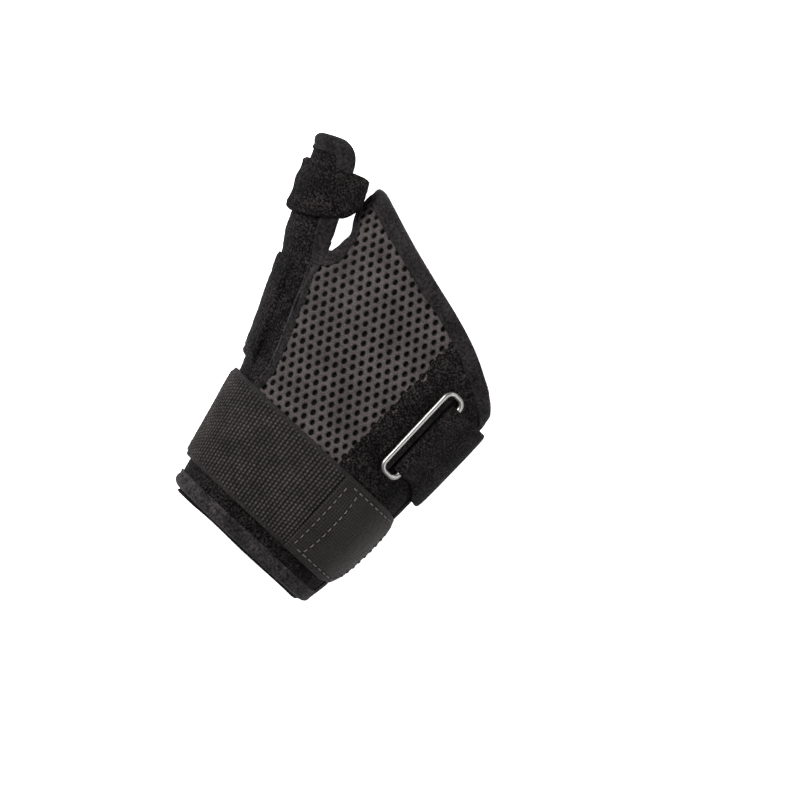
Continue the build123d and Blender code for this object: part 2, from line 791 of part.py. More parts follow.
TAB_Y = [-16.0, -15.5, -14.0, -11.5, -8.0, 0.0, 8.0, 11.5, 14.0, 15.5, 16.0]
with BuildPart() as tab_cover:
    add(
        band(
            TAB_COVER,
            lambda y: tab_end(y, 16.0, 8.0) - 8.0,
            lambda y: angle_at(y, TAB_SEAM_X + 0.2, TAB_COVER[0]),
            TAB_Y,
        )
    )
tab_cover.part.label = "tab_cover"
export_step(tab_cover.part, "parts/tab_cover.step")

HOOK_Y = [-14.5, -14.0, -12.5, -10.0, -6.5, 0.0, 6.5, 10.0, 12.5, 14.0, 14.5]
with BuildPart() as tab_hook:
    add(
        band(
            TAB_HOOK,
            lambda y: tab_end(y, 14.5, 8.0) - 5.5,
            lambda y: angle_at(y, TAB_SEAM_X + 2, TAB_HOOK[0]),
            HOOK_Y,
        )
    )
tab_hook.part.label = "tab_hook"
export_step(tab_hook.part, "parts/tab_hook.step")
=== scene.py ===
"""Wrist splint with a thumb tongue: the visual model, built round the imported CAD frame."""

import math

import bmesh
import bpy
import numpy as np
from mathutils import Matrix, Vector


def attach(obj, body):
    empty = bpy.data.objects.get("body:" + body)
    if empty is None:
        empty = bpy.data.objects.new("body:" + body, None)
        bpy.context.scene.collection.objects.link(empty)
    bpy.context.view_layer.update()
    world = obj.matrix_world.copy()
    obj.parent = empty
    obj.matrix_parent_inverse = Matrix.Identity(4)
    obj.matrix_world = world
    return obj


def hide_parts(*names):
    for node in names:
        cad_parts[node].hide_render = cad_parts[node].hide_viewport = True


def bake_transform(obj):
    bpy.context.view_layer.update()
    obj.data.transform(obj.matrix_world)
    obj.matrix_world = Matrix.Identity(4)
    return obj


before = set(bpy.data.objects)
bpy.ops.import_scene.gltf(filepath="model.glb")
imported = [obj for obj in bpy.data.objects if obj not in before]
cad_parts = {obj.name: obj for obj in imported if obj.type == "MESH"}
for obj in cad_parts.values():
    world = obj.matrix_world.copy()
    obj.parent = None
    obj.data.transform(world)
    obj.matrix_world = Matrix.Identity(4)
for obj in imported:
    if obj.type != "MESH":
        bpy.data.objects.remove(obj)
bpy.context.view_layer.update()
MM = 0.001

# ------------------------------------------------------------------ the wrap's surface, in mm
# Stations along Y: radial side, ulnar side and top of the skin surface, as in the CAD.
STATIONS = np.array(
    [
        (-34.0, -23.6, 24.4, 38.3),
        (-28.0, -24.9, 25.2, 39.4),
        (-16.0, -27.6, 26.6, 41.3),
        (0.0, -31.4, 27.6, 42.8),
        (16.0, -35.2, 28.2, 42.8),
        (30.0, -40.9, 28.8, 41.8),
        (45.0, -47.6, 29.1, 40.3),
        (54.0, -51.6, 29.1, 39.1),
        (60.0, -51.4, 28.9, 38.2),
        (66.0, -48.4, 28.4, 37.3),
        (74.0, -44.6, 28.0, 36.2),
        (84.0, -42.4, 27.3, 34.9),
        (104.0, -41.2, 25.6, 32.8),
    ]
)
MIDDLE_Z, FLOOR_DEPTH = 21.0, 5.5
TOP_POWER, SIDE_POWER, FLAT_SHARE = 2.4, 2.1, 0.42
G_STEP = Y_STEP = 0.5
Y_LOW, Y_HIGH = -34.0, 104.0
G_LOW, G_HIGH = -190.0, 62.0
MID_DEPTH = 1.6


def smooth_rows(y):
    """The stations' values at y, with their corners rounded over about 8 mm."""
    fine = np.arange(Y_LOW - 20, Y_HIGH + 20, 0.5)
    kernel = np.hanning(17)
    kernel /= kernel.sum()
    out = []
    for column in (1, 2, 3):
        values = np.interp(fine, STATIONS[:, 0], STATIONS[:, column])
        values = np.convolve(np.pad(values, 8, mode="edge"), kernel, mode="valid")
        out.append(np.interp(y, fine, values))
    return out


def arc_length(line):
    """Distance along a line at each of its points."""
    return np.concatenate([[0], np.cumsum(np.linalg.norm(np.diff(line, axis=0), axis=1))])


def at_places(want, along, line):
    """A line's values at the wanted distances along it."""
    return np.stack([np.interp(want, along, column) for column in np.asarray(line).T], -1)


def signed(value, exponent):
    """A cosine or sine bent towards a rounded rectangle's."""
    return np.sign(value) * np.abs(value) ** (2 / exponent)


def build_wrap_tables():
    """Skin point and outward direction over a grid of (y, distance round the section)."""
    rows = np.arange(Y_LOW, Y_HIGH + Y_STEP / 2, Y_STEP)
    gs = np.arange(G_LOW, G_HIGH + G_STEP / 2, G_STEP)
    left, right, top = smooth_rows(rows)
    turn = np.radians(np.concatenate([np.linspace(0, 180, 361), np.linspace(180.5, 270, 180)]))
    last = np.radians(np.linspace(270, 352, 165))
    tables = np.zeros((4, len(rows), len(gs)))
    for i in range(len(rows)):
        mid, half = (left[i] + right[i]) / 2, (right[i] - left[i]) / 2
        flat = half * FLAT_SHARE
        c, s = np.cos(turn), np.sin(turn)
        up = s >= -1e-9
        dx = np.where(up, signed(c, TOP_POWER), signed(c, SIDE_POWER))
        dz = np.where(up, signed(s, TOP_POWER), signed(s, SIDE_POWER))
        x0 = np.where(up, mid + half * dx, mid - flat + (half - flat) * dx)
        z0 = MIDDLE_Z + np.where(up, top[i] - MIDDLE_Z, MIDDLE_Z - FLOOR_DEPTH) * dz
        n = 60
        fx = np.linspace(mid - flat, mid + flat, n)
        c2, s2 = np.cos(last), np.sin(last)
        dx2, dz2 = signed(c2, SIDE_POWER), signed(s2, SIDE_POWER)
        x = np.concatenate([x0, fx[1:-1], mid + flat + (half - flat) * dx2])
        z = np.concatenate(
            [z0, np.full(n - 2, FLOOR_DEPTH), MIDDLE_Z + (MIDDLE_Z - FLOOR_DEPTH) * dz2]
        )
        dx = np.concatenate([dx, np.zeros(n - 2), dx2])
        dz = np.concatenate([dz, -np.ones(n - 2), dz2])
        mx, mz = x + MID_DEPTH * dx, z + MID_DEPTH * dz
        length = np.concatenate([[0], np.cumsum(np.hypot(np.diff(mx), np.diff(mz)))])
        zero = np.interp(0.0, -mx[:361], length[:361])
        g = zero - length
        # The back's ulnar edge is straight on down past the end of the table.
        for k, column in enumerate((x, z, dx, dz)):
            tables[k, i] = np.interp(gs, g[::-1], column[::-1])
        over = gs > g[0]
        tables[1, i, over] -= gs[over] - g[0]
        under = gs < g[-1]
        slope = (g[-1] - gs[under])[:, None] * np.array([[x[-1] - x[-2], z[-1] - z[-2]]])
        slope /= math.hypot(x[-1] - x[-2], z[-1] - z[-2])
        tables[0, i, under] += slope[:, 0]
        tables[1, i, under] += slope[:, 1]
    return tables


WRAP = build_wrap_tables()


def sample(tables, row, column):
    """Values of a stack of tables at fractional rows and columns."""
    row = np.clip(row, 0, tables.shape[1] - 1.001)
    column = np.clip(column, 0, tables.shape[2] - 1.001)
    i, j = row.astype(int), column.astype(int)
    a, b = row - i, column - j
    low = tables[:, i, j] * (1 - b) + tables[:, i, j + 1] * b
    high = tables[:, i + 1, j] * (1 - b) + tables[:, i + 1, j + 1] * b
    return low * (1 - a) + high * a


def wrap(g, y, t):
    """Points on the wrap: g round the section from x = 0, positive to the ulnar side."""
    g, y, t = np.broadcast_arrays(*[np.asarray(v, float) for v in (g, y, t)])
    x, z, dx, dz = sample(WRAP, (y - Y_LOW) / Y_STEP, (g - G_LOW) / G_STEP)
    return np.stack([x + t * dx, y + 0.0, z + t * dz], -1)


def g_of_x(x, y, t=MID_DEPTH, under=False):
    """Distance round the section of plan position x, on the back or on the palm side."""
    gs = np.arange(G_LOW, -40, 0.25) if under else np.linspace(-84, 50, 1341)
    order = -1 if under else 1
    out = []
    for xi, yi in zip(np.atleast_1d(x), np.atleast_1d(y)):
        p = wrap(gs, np.full_like(gs, yi), t)
        keep = p[:, 2] < MIDDLE_Z - 0.01 if under else p[:, 2] > MIDDLE_Z + 0.01
        out.append(np.interp(xi, p[keep, 0][::order], gs[keep][::order]))
    return np.array(out)


def g_of_turn(degrees, y):
    """Distance round the section of a section angle, from its height and side."""
    gs = np.arange(G_LOW, G_HIGH, 0.25)
    out = []
    for d, yi in zip(np.atleast_1d(degrees), np.atleast_1d(y)):
        _, _, dx, dz = sample(WRAP, np.full_like(gs, (yi - Y_LOW) / Y_STEP), (gs - G_LOW) / G_STEP)
        power = TOP_POWER if d <= 180 else SIDE_POWER
        across, up = signed(np.cos(np.radians(d)), power), signed(np.sin(np.radians(d)), power)
        out.append(gs[np.argmin((dx - across) ** 2 + (dz - up) ** 2)])
    return np.array(out)


# ------------------------------------------------------------------ the thumb's surface
THUMB_ORIGIN = np.array([-51.3, 71.1, 24.0])
LEAN = math.radians(25.0)
THUMB_AXIS = np.array([-math.sin(LEAN), math.cos(LEAN), 0.0])
THUMB_OUT = np.array([-math.cos(LEAN), -math.sin(LEAN), 0.0])
THUMB_SECTIONS = np.array([(-20.0, 9.1, 8.4), (0.0, 8.5, 7.7), (14.0, 8.1, 7.3), (36.0, 7.2, 6.5)])


def tube(degrees, along, t):
    """Points round the thumb. 0 is its radial side, 90 its back, 180 its ulnar side."""
    degrees, along, t = np.broadcast_arrays(*[np.asarray(v, float) for v in (degrees, along, t)])
    half = np.interp(along, THUMB_SECTIONS[:, 0], THUMB_SECTIONS[:, 1])
    high = np.interp(along, THUMB_SECTIONS[:, 0], THUMB_SECTIONS[:, 2])
    turn = np.radians(degrees)
    out = (half + t) * np.cos(turn)
    up = (high + t) * np.sin(turn)
    return (
        THUMB_ORIGIN
        + THUMB_AXIS * along[..., None]
        + THUMB_OUT * out[..., None]
        + np.array([0, 0, 1.0]) * up[..., None]
    )


def ease(x):
    x = np.clip(x, 0, 1)
    return x * x * (3 - 2 * x)


# The tongue runs from the wrap's radial side onto the thumb: rows v along it, and a across it
# from its edge on the back of the hand.
SEAM = np.array([(12.0, -28.9), (24.5, -29.6), (35.0, -33.4), (44.2, -37.2), (54.0, -41.2)])
SEAM = np.vstack([SEAM, [(62.0, -43.6), (80.0, -46.0)]])
TONGUE_ARC = (112.0, -92.0)
V_LOW, V_HIGH, V_STEP = 10.0, 97.5, 0.5
TONGUE_SAMPLES = 181


def seam_g(y):
    """Distance round the section of the seam between the mesh and the thumb's velour."""
    return float(g_of_x(np.interp(y, SEAM[:, 0], SEAM[:, 1]), y)[0])


def build_tongue_tables():
    rows = np.arange(V_LOW, V_HIGH + V_STEP / 2, V_STEP)
    k = np.linspace(0, 1, TONGUE_SAMPLES)
    tables = np.zeros((6, len(rows), TONGUE_SAMPLES))
    widths = np.zeros(len(rows))
    for i, v in enumerate(rows):
        seam = seam_g(v)
        end = g_of_turn(196.0 + 14 * ease((v - 30) / 25), v)[0]
        g = seam + (end - seam) * k
        skin, out = wrap(g, v, 0.0), wrap(g, v, 1.0)
        along = (v - 70.0) * 1.05
        turn = TONGUE_ARC[0] + (TONGUE_ARC[1] - TONGUE_ARC[0]) * k
        skin2, out2 = tube(turn, along, 0.0), tube(turn, along, 1.0)
        w = ease((v - 50.0) / 15.0)
        p = skin * (1 - w) + skin2 * w
        d = (out - skin) * (1 - w) + (out2 - skin2) * w
        d /= np.linalg.norm(d, axis=1)[:, None]
        d *= (np.linalg.norm(out - skin, axis=1) * (1 - w) + w)[:, None]
        tables[0:3, i], tables[3:6, i] = p.T, d.T
        widths[i] = np.linalg.norm(np.diff(p + 2 * d, axis=0), axis=1).sum()
    return tables, rows, widths


TONGUE, TONGUE_ROWS, TONGUE_WIDTHS = build_tongue_tables()


def tongue(a, v, t):
    """Points on the tongue: a in mm across it from its edge on the back, v along it."""
    a, v, t = np.broadcast_arrays(*[np.asarray(x, float) for x in (a, v, t)])
    k = a / np.interp(v, TONGUE_ROWS, TONGUE_WIDTHS)
    values = sample(TONGUE, (v - V_LOW) / V_STEP, k * (TONGUE_SAMPLES - 1))
    return np.moveaxis(values[0:3] + t * values[3:6], 0, -1)


# ------------------------------------------------------------------ small helpers
def noise2(a, b, size, seed):
    """Smooth value noise from -1 to 1 over two parameters, with features about size mm wide."""
    table = np.random.default_rng(seed).uniform(-1, 1, (64, 64))
    a, b = np.asarray(a, float) / size, np.asarray(b, float) / size
    i, j = np.floor(a).astype(int), np.floor(b).astype(int)
    u, v = ease(a - i), ease(b - j)
    i0, j0, i1, j1 = i % 64, j % 64, (i + 1) % 64, (j + 1) % 64
    low = table[i0, j0] * (1 - v) + table[i0, j1] * v
    high = table[i1, j0] * (1 - v) + table[i1, j1] * v
    return low * (1 - u) + high * u


def smooth_line(points, step=0.8):
    """A Catmull-Rom line through points, resampled to even steps."""
    p = np.asarray(points, float)
    p = np.vstack([2 * p[0] - p[1], p, 2 * p[-1] - p[-2]])
    out = []
    for i in range(1, len(p) - 2):
        t = np.linspace(0, 1, 24, endpoint=False)[:, None]
        a, b, c, d = p[i - 1], p[i], p[i + 1], p[i + 2]
        bend, twist = 2 * a - 5 * b + 4 * c - d, 3 * b - a - 3 * c + d
        out.append(0.5 * (2 * b + (c - a) * t + bend * t**2 + twist * t**3))
    line = np.vstack(out + [p[-2][None]])
    along = arc_length(line)
    count = max(2, int(round(along[-1] / step)))
    return at_places(np.linspace(0, along[-1], count + 1), along, line)


def line_normals(line):
    """Unit normals on the left of a 2D line."""
    d = np.gradient(line, axis=0)
    d /= np.linalg.norm(d, axis=1)[:, None]
    return np.stack([-d[:, 1], d[:, 0]], -1)


def drawn_in(line, width):
    """The line moved to its left by width, with the loops of tight corners pulled straight."""
    width = np.broadcast_to(np.asarray(width, float), len(line))
    raw = line + line_normals(line) * width[:, None]
    gap = np.linalg.norm(raw[:, None] - line[None], axis=2).min(1)
    good = gap > width - 0.08
    good[0] = good[-1] = True
    index = np.arange(len(line))
    return at_places(index, index[good], raw[good])


def inside(polygon, a, b):
    """Whether points lie in a polygon."""
    hit = np.zeros(a.shape, bool)
    p, q = polygon, np.roll(polygon, -1, axis=0)
    for (x0, y0), (x1, y1) in zip(p, q):
        if y0 == y1:
            continue
        crosses = ((b < y0) != (b < y1)) & (a < (x1 - x0) * (b - y0) / (y1 - y0) + x0)
        hit ^= crosses
    return hit


def make_mesh(name, points, faces, smooth=True, flat=None, painted_shade=None):
    """A mesh object from points in mm and faces. flat gives UVs in mm; the last argument gives
    painted shade per point, a darkening of the colour where shade would fall, kept in the 'relief'
    attribute.
    """
    mesh = bpy.data.meshes.new(name)
    mesh.from_pydata((np.asarray(points) * MM).tolist(), [], [list(map(int, f)) for f in faces])
    mesh.polygons.foreach_set("use_smooth", [smooth] * len(mesh.polygons))
    if flat is not None:
        layer = mesh.uv_layers.new(name="flat")
        corners = np.zeros(len(mesh.loops), int)
        mesh.loops.foreach_get("vertex_index", corners)
        layer.data.foreach_set("uv", np.asarray(flat)[corners].ravel())
    if painted_shade is not None:
        # The 'relief' attribute holds painted shade, a darkening of the colour where shade would
        # fall, not a height.
        values = mesh.attributes.new("relief", "FLOAT", "POINT")
        values.data.foreach_set("value", np.asarray(painted_shade, np.float32).ravel())
    mesh.update()
    o = bpy.data.objects.new(name, mesh)
    bpy.context.scene.collection.objects.link(o)
    return o


def shell(name, inner, outer, keep=None, smooth=True, flat=None, painted_shade=None):
    """A closed sheet between two grids of points. keep says which of its cells there are."""
    n, m = outer.shape[:2]
    if keep is None:
        keep = np.ones((n - 1, m - 1), bool)
    index = np.arange(n * m).reshape(n, m)
    corners = np.stack([index[:-1, :-1], index[1:, :-1], index[1:, 1:], index[:-1, 1:]], -1)
    top = corners[keep]
    a, b, c = (outer.reshape(-1, 3)[top[:, k]] for k in (0, 1, 2))
    side = (outer - inner).reshape(-1, 3)[top[:, 0]]
    flip = np.einsum("ij,ij->", np.cross(b - a, c - b), side) < 0
    padded = np.pad(keep, 1)
    walls = []
    edges = {(1, 0): (0, 1), (2, 1): (1, 2), (1, 2): (2, 3), (0, 1): (3, 0)}
    for (di, dj), (p, q) in edges.items():
        other = padded[di : di + n - 1, dj : dj + m - 1]
        free = keep & ~other
        e = corners[free]
        walls.append(np.stack([e[:, q], e[:, p], e[:, p] + n * m, e[:, q] + n * m], -1))
    faces = np.vstack([top, top[:, ::-1] + n * m] + walls)
    if flip:
        faces = faces[:, ::-1]
    points = np.vstack([outer.reshape(-1, 3), inner.reshape(-1, 3)])
    used = np.unique(faces)
    lookup = np.full(len(points), -1)
    lookup[used] = np.arange(len(used))
    if flat is not None:
        flat = np.stack(flat, -1).reshape(-1, 2)
        flat = np.vstack([flat, flat])[used]
    if painted_shade is not None:
        painted_shade = np.concatenate([np.ravel(painted_shade), np.ravel(painted_shade)])[used]
    return make_mesh(name, points[used], lookup[faces], smooth, flat, painted_shade)


def grid(a0, a1, b0, b1, step_a, step_b):
    """Two parameter grids over a rectangle."""
    a = np.linspace(a0, a1, max(2, int(round(abs(a1 - a0) / step_a)) + 1))
    b = np.linspace(b0, b1, max(2, int(round(abs(b1 - b0) / step_b)) + 1))
    return np.meshgrid(a, b, indexing="ij")


def centres(x):
    return (x[:-1, :-1] + x[1:, :-1] + x[1:, 1:] + x[:-1, 1:]) / 4


def turn_outwards(o, merge=0.0):
    """Turns a closed mesh's faces outwards, after joining its points that lie within merge."""
    bm = bmesh.new()
    bm.from_mesh(o.data)
    if merge:
        bmesh.ops.remove_doubles(bm, verts=bm.verts, dist=merge)
    bmesh.ops.recalc_face_normals(bm, faces=bm.faces)
    bm.to_mesh(o.data)
    bm.free()
    return o


def ring_quads(n, m):
    """The faces between n rings of m points each."""
    index = np.arange(n * m).reshape(n, m)
    nxt = np.roll(index, -1, axis=1)
    return np.stack([index[:-1], nxt[:-1], nxt[1:], index[1:]], -1).reshape(-1, 4)


def tubes(name, runs):
    """One mesh of closed tubes, each through its rings of points and capped at both ends."""
    points, faces, base = [], [], 0
    for rings in runs:
        n, m = rings.shape[:2]
        ends = np.arange(m)[::-1], np.arange(m) + (n - 1) * m
        faces += [*(ring_quads(n, m) + base), *(end + base for end in ends)]
        points.append(rings.reshape(-1, 3))
        base += n * m
    return turn_outwards(make_mesh(name, np.vstack(points), faces))


def round_turns(count):
    return np.linspace(0, 2 * math.pi, count, endpoint=False)


def stitch(centre, up, radius, sides=8):
    """Rings of points round one stitch's middle line."""
    side = np.cross(np.gradient(centre, axis=0), up)
    side /= np.linalg.norm(side, axis=1)[:, None]
    turn = round_turns(sides)[None, :, None]
    ring = side[:, None] * np.cos(turn) + up[:, None] * np.sin(turn)
    return centre[:, None] + np.reshape(radius, (-1, 1, 1)) * ring


# The section of a tape folded over an edge: distance in from the fold, and depth.
FOLD = [
    (5.5, 3.25), (5.42, 3.62), (5.1, 3.8), (4.5, 3.72), (3.95, 3.5),
    (3.4, 3.74), (2.6, 3.92), (1.6, 3.95), (0.7, 3.72), (0.1, 3.2),
    (-0.15, 2.4), (-0.2, 1.5), (-0.12, 0.6), (0.15, -0.05), (0.8, -0.45),
    (2.2, -0.6), (4.0, -0.55), (5.2, -0.4), (5.5, 0.05), (5.0, 1.0),
    (4.6, 1.6), (5.0, 2.4),
]


def stitches(name, surface, line, t, length=2.0, gap=1.3, radius=0.19):
    """A row of stitches along a line on a surface."""
    step = 0.25
    fine = smooth_line(line, step)
    runs = []
    for start in np.arange(2, len(fine) - length / step - 1, (length + gap) / step):
        a, b = fine[int(start) : int(start + length / step) + 1 : 2].T
        sink = np.linspace(-1, 1, len(a))
        depth = t + radius * 0.9 - sink**4 * radius * 1.8
        centre = surface(a, b, depth)
        up = surface(a, b, depth + 1) - centre
        up /= np.linalg.norm(up, axis=1)[:, None]
        fat = radius * np.sqrt(np.clip(1 - (sink * 0.94) ** 6, 0.05, 1))
        runs.append(stitch(centre, up, fat))
    return tubes(name, runs)


# ------------------------------------------------------------------ lines on the wrap
CUFF = -25.5
FACE_SEAM_X = 5.6
PALM_EDGE_Z = 15.5
ROWS = np.arange(-33.0, 100.0, 1.0)


def row_table(values):
    return lambda y: np.interp(y, ROWS, values)


g_ulnar = row_table(g_of_turn(np.zeros(len(ROWS)), ROWS))
g_radial = row_table(g_of_turn(np.full(len(ROWS), 180.0), ROWS))
g_face = row_table(g_of_x(np.full(len(ROWS), FACE_SEAM_X), ROWS))


def palm_edge_g(y):
    """Distance round the section of the palm half's free edge."""
    gs = np.arange(G_LOW, -60, 0.25)
    out = []
    for yi in np.atleast_1d(y):
        p = wrap(gs, yi, MID_DEPTH)
        far = p[:, 0] > 0
        k = np.argmin(np.abs(p[far, 2] - PALM_EDGE_Z))
        out.append(gs[far][k])
    return np.array(out)


g_palm = row_table(palm_edge_g(ROWS))


# The back half's edge from the ulnar side round the top to the thumb opening.
BACK_EDGE = [
    (23.1, 68.3), (12.6, 73.9), (1.2, 77.9), (-10.8, 81.2),
    (-24.0, 85.0), (-38.3, 89.8), (-42.6, 91.3), (-45.2, 91.4),
    (-46.1, 88.8), (-43.9, 81.0), (-41.0, 74.5), (-41.0, 70.5),
]
top_line = [(g_of_x(x, y)[0], y) for x, y in BACK_EDGE]
side_g = float(g_ulnar(55.0))
edge_start = CUFF + 7.0
ulnar_line = [(float(g_ulnar(y)), y) for y in np.arange(edge_start, 50.0, 6.0)]
corner_line = [
    (float(g_ulnar(51.0)), 51.0),
    (side_g - 0.4, 56.0),
    (side_g - 2.6, 60.2),
    (side_g - 7.0, 63.2),
    (top_line[0][0] + 4.5, 65.8),
]
BACK_LINE = smooth_line(ulnar_line + corner_line + top_line)
DISTAL_LINE = smooth_line(corner_line[-2:] + top_line)
gu, gp = float(g_ulnar(-20.0)), float(g_palm(-20.0))
CUFF_PATH = smooth_line(
    [(gp, CUFF + 7.5), (gp + 0.9, CUFF + 3.2), (gp + 3.2, CUFF + 0.9), (gp + 7.5, CUFF)]
    + [(g, CUFF) for g in np.arange(gp + 14, gu - 10, 8.0)]
    + [(gu - 7.5, CUFF), (gu - 3.2, CUFF + 0.9), (gu - 0.9, CUFF + 3.2), (gu, CUFF + 7.5)]
)
opening_foot = [(float(g_of_x(-41.3, 66.6)[0]), 66.6), (float(g_of_x(-42.8, 64.2)[0]), 64.2)]
seam_run = [(seam_g(y), float(y)) for y in np.arange(62.0, 11.0, -4.0)]
radial_line = [(float(g_radial(y)) + 1.0, float(y)) for y in np.arange(4.0, CUFF, -6.0)]
back_cuff = CUFF_PATH[CUFF_PATH[:, 0] > radial_line[-1][0]]
BACK_OUTLINE = np.vstack([BACK_LINE, opening_foot, seam_run, radial_line, back_cuff])

# The palm half's edge from the thumb round the top to its free ulnar edge.
PALM_EDGE = [
    (-52.0, 52.0), (-43.0, 58.0), (-34.0, 65.5), (-24.0, 72.5),
    (-12.0, 76.6), (2.0, 75.8), (16.0, 70.4), (24.5, 65.8),
]
palm_top = [(float(g_of_x(x, y, under=True)[0]), y) for x, y in PALM_EDGE]
palm_start = [(float(g_radial(49.0)) + 3.0, 48.5), (float(g_radial(50.0)) - 3.0, 50.0)]
palm_g = float(g_palm(54.0))
palm_corner = [(palm_g + 4.5, 62.6), (palm_g + 1.4, 59.4), (palm_g, 54.5)]
palm_side = [(float(g_palm(y)), y) for y in np.arange(48.0, edge_start, -6.0)]
palm_side.append((gp, edge_start))
PALM_LINE = smooth_line(palm_start + palm_top + palm_corner + palm_side)
PALM_OUTLINE = np.vstack(
    [
        PALM_LINE,
        CUFF_PATH[CUFF_PATH[:, 0] < float(g_radial(-26.0)) - 1],
        [(float(g_radial(y)) - 1.0, y) for y in np.arange(-22.0, 48.0, 4.0)],
    ]
)


def tongue_b(b, v, t):
    """The tongue with its across direction turned round, so that inwards is on the left."""
    return tongue(-np.asarray(b, float), v, t)


def width_at(v):
    return np.interp(v, TONGUE_ROWS, TONGUE_WIDTHS)


# ------------------------------------------------------------------ fabric bases
# Each half's outline, its taped edge and the grid that holds it.
BACK = (BACK_OUTLINE, BACK_LINE, (-100.0, 48.0, -27.0, 94.0))
PALM = (PALM_OUTLINE, PALM_LINE, (-188.0, -55.0, -27.0, 78.0))


def within(half, g, y, inset):
    """Which cells of a grid are in a half of the wrap, clear of its edges and of the slot."""
    g, y = centres(g), centres(y)
    near = np.minimum(distance_to(half[1], g, y), distance_to(CUFF_PATH, g, y))
    return inside(half[0], g, y) & (near > inset) & ~in_slot(g, y)


def cover(name, half, low, high, inset, seed, wave):
    """One even layer of a half of the wrap."""
    g, y = grid(*half[2], 1.1, 1.1)
    move = wave * noise2(g, y, 7.0, seed)
    inner, outer = wrap(g, y, low + move * 0.5), wrap(g, y, high + move)
    return shell(name, inner, outer, within(half, g, y, inset))


def distance_to(line, a, b):
    """Distance from points to a line's own points."""
    flat = np.stack([a.ravel(), b.ravel()], -1)
    best = np.full(len(flat), 1e9)
    for start in range(0, len(line), 40):
        part = line[start : start + 40]
        d = np.linalg.norm(flat[:, None] - part[None], axis=2).min(1)
        best = np.minimum(best, d)
    return best.reshape(a.shape)


# The slot's sides in plan: its low and high x, then its low and high y.
SLOT = (19.3, 22.6, 24.9, 57.9)


def in_slot(g, y):
    x = wrap(g, y, 3.0)[..., 0]
    return (x > SLOT[0]) & (x < SLOT[1]) & (y > SLOT[2]) & (y < SLOT[3]) & (g > 0)


def section(degrees, y, t):
    """A point on the wrap's section at an angle, for the straps that follow the CAD's angles."""
    degrees, y, t = np.broadcast_arrays(*[np.asarray(v, float) for v in (degrees, y, t)])
    left, right, top = smooth_rows(y)
    mid, half = (left + right) / 2, (right - left) / 2
    flat = half * FLAT_SHARE
    c, s = np.cos(np.radians(degrees)), np.sin(np.radians(degrees))
    turn = degrees % 360
    up = turn <= 180
    side = np.where(turn > 270, flat, -flat)
    under_x = mid + side + (half + t - flat) * signed(c, SIDE_POWER)
    x = np.where(up, mid + (half + t) * signed(c, TOP_POWER), under_x)
    under_z = (MIDDLE_Z - FLOOR_DEPTH + t) * signed(s, SIDE_POWER)
    z = MIDDLE_Z + np.where(up, (top - MIDDLE_Z + t) * signed(s, TOP_POWER), under_z)
    return np.stack([x, y + 0.0, z], -1)


def turn_at(y, x, t):
    """Section angle on the back of plan position x."""
    left, right, _ = smooth_rows(np.asarray(y, float))
    share = np.clip((x - (left + right) / 2) / ((right - left) / 2 + t), -1, 1)
    return np.degrees(np.arccos(np.sign(share) * np.abs(share) ** (TOP_POWER / 2)))


def resample(points, count):
    """A smooth line through rows of 3D points, as count even steps."""
    line = smooth_line(points, 0.25)
    along = arc_length(line)
    return at_places(np.linspace(0, along[-1], count), along, line)


def strip_normals(p):
    """Unit normals of a grid of points."""
    n = np.cross(np.gradient(p, axis=0), np.gradient(p, axis=1))
    return n / np.linalg.norm(n, axis=2)[..., None]


def strip(name, p, thickness, relief, round_ends=(True, True), outwards=1.0, flat=None,
          painted_shade=None):
    """A strap through a grid of centre points, with rounded edges and relief on its outer face."""
    n = strip_normals(p) * outwards
    u = np.linspace(-1, 1, p.shape[1])[None, :]
    half = thickness / 2 * np.sqrt(np.clip(1 - np.abs(u) ** 14, 0.05, 1)) * np.ones((p.shape[0], 1))
    ends = np.ones(p.shape[0])
    edge = np.array([0.35, 0.7, 0.88, 0.97])
    if round_ends[0]:
        ends[:4] = edge
    if round_ends[1]:
        ends[-4:] = edge[::-1]
    half = half * ends[:, None]
    outer = p + n * (half + relief * ends[:, None])[..., None]
    inner = p - n * half[..., None]
    return shell(name, inner, outer, flat=flat, painted_shade=painted_shade)


# ------------------------------------------------------------------ materials
class Graph:
    """A new material and its nodes."""

    def __init__(self, name):
        self.material = bpy.data.materials.new(name)
        self.material.use_nodes = True
        self.tree = self.material.node_tree
        self.tree.nodes.clear()

    def add(self, kind, output, inputs, **settings):
        """A node's named output. Its inputs are values, or outputs of other nodes."""
        made = self.tree.nodes.new("ShaderNode" + kind)
        for key, value in settings.items():
            setattr(made, key, value)
        for key, value in inputs.items():
            if isinstance(value, bpy.types.NodeSocket):
                self.tree.links.new(value, made.inputs[key])
            else:
                made.inputs[key].default_value = value
        return made.outputs[output] if output is not None else None

    def ramp(self, value, split, dark, light):
        """A colour between dark and light, by a value that runs over the split."""
        colour = self.add("ValToRGB", "Color", {"Fac": value})
        for element, place, tint in zip(colour.node.color_ramp.elements, split, (dark, light)):
            element.position, element.color = place, (*tint, 1)
        return colour

    def times(self, colour, factor):
        inputs = {"Factor": 1.0, "A": colour, "B": factor}
        return self.add("Mix", "Result", inputs, data_type="RGBA", blend_type="MULTIPLY")

    def surface(self, inputs):
        """The material, with its shader's inputs."""
        shader = self.add("BsdfPrincipled", "BSDF", inputs)
        self.add("OutputMaterial", None, {"Surface": shader})
        return self.material


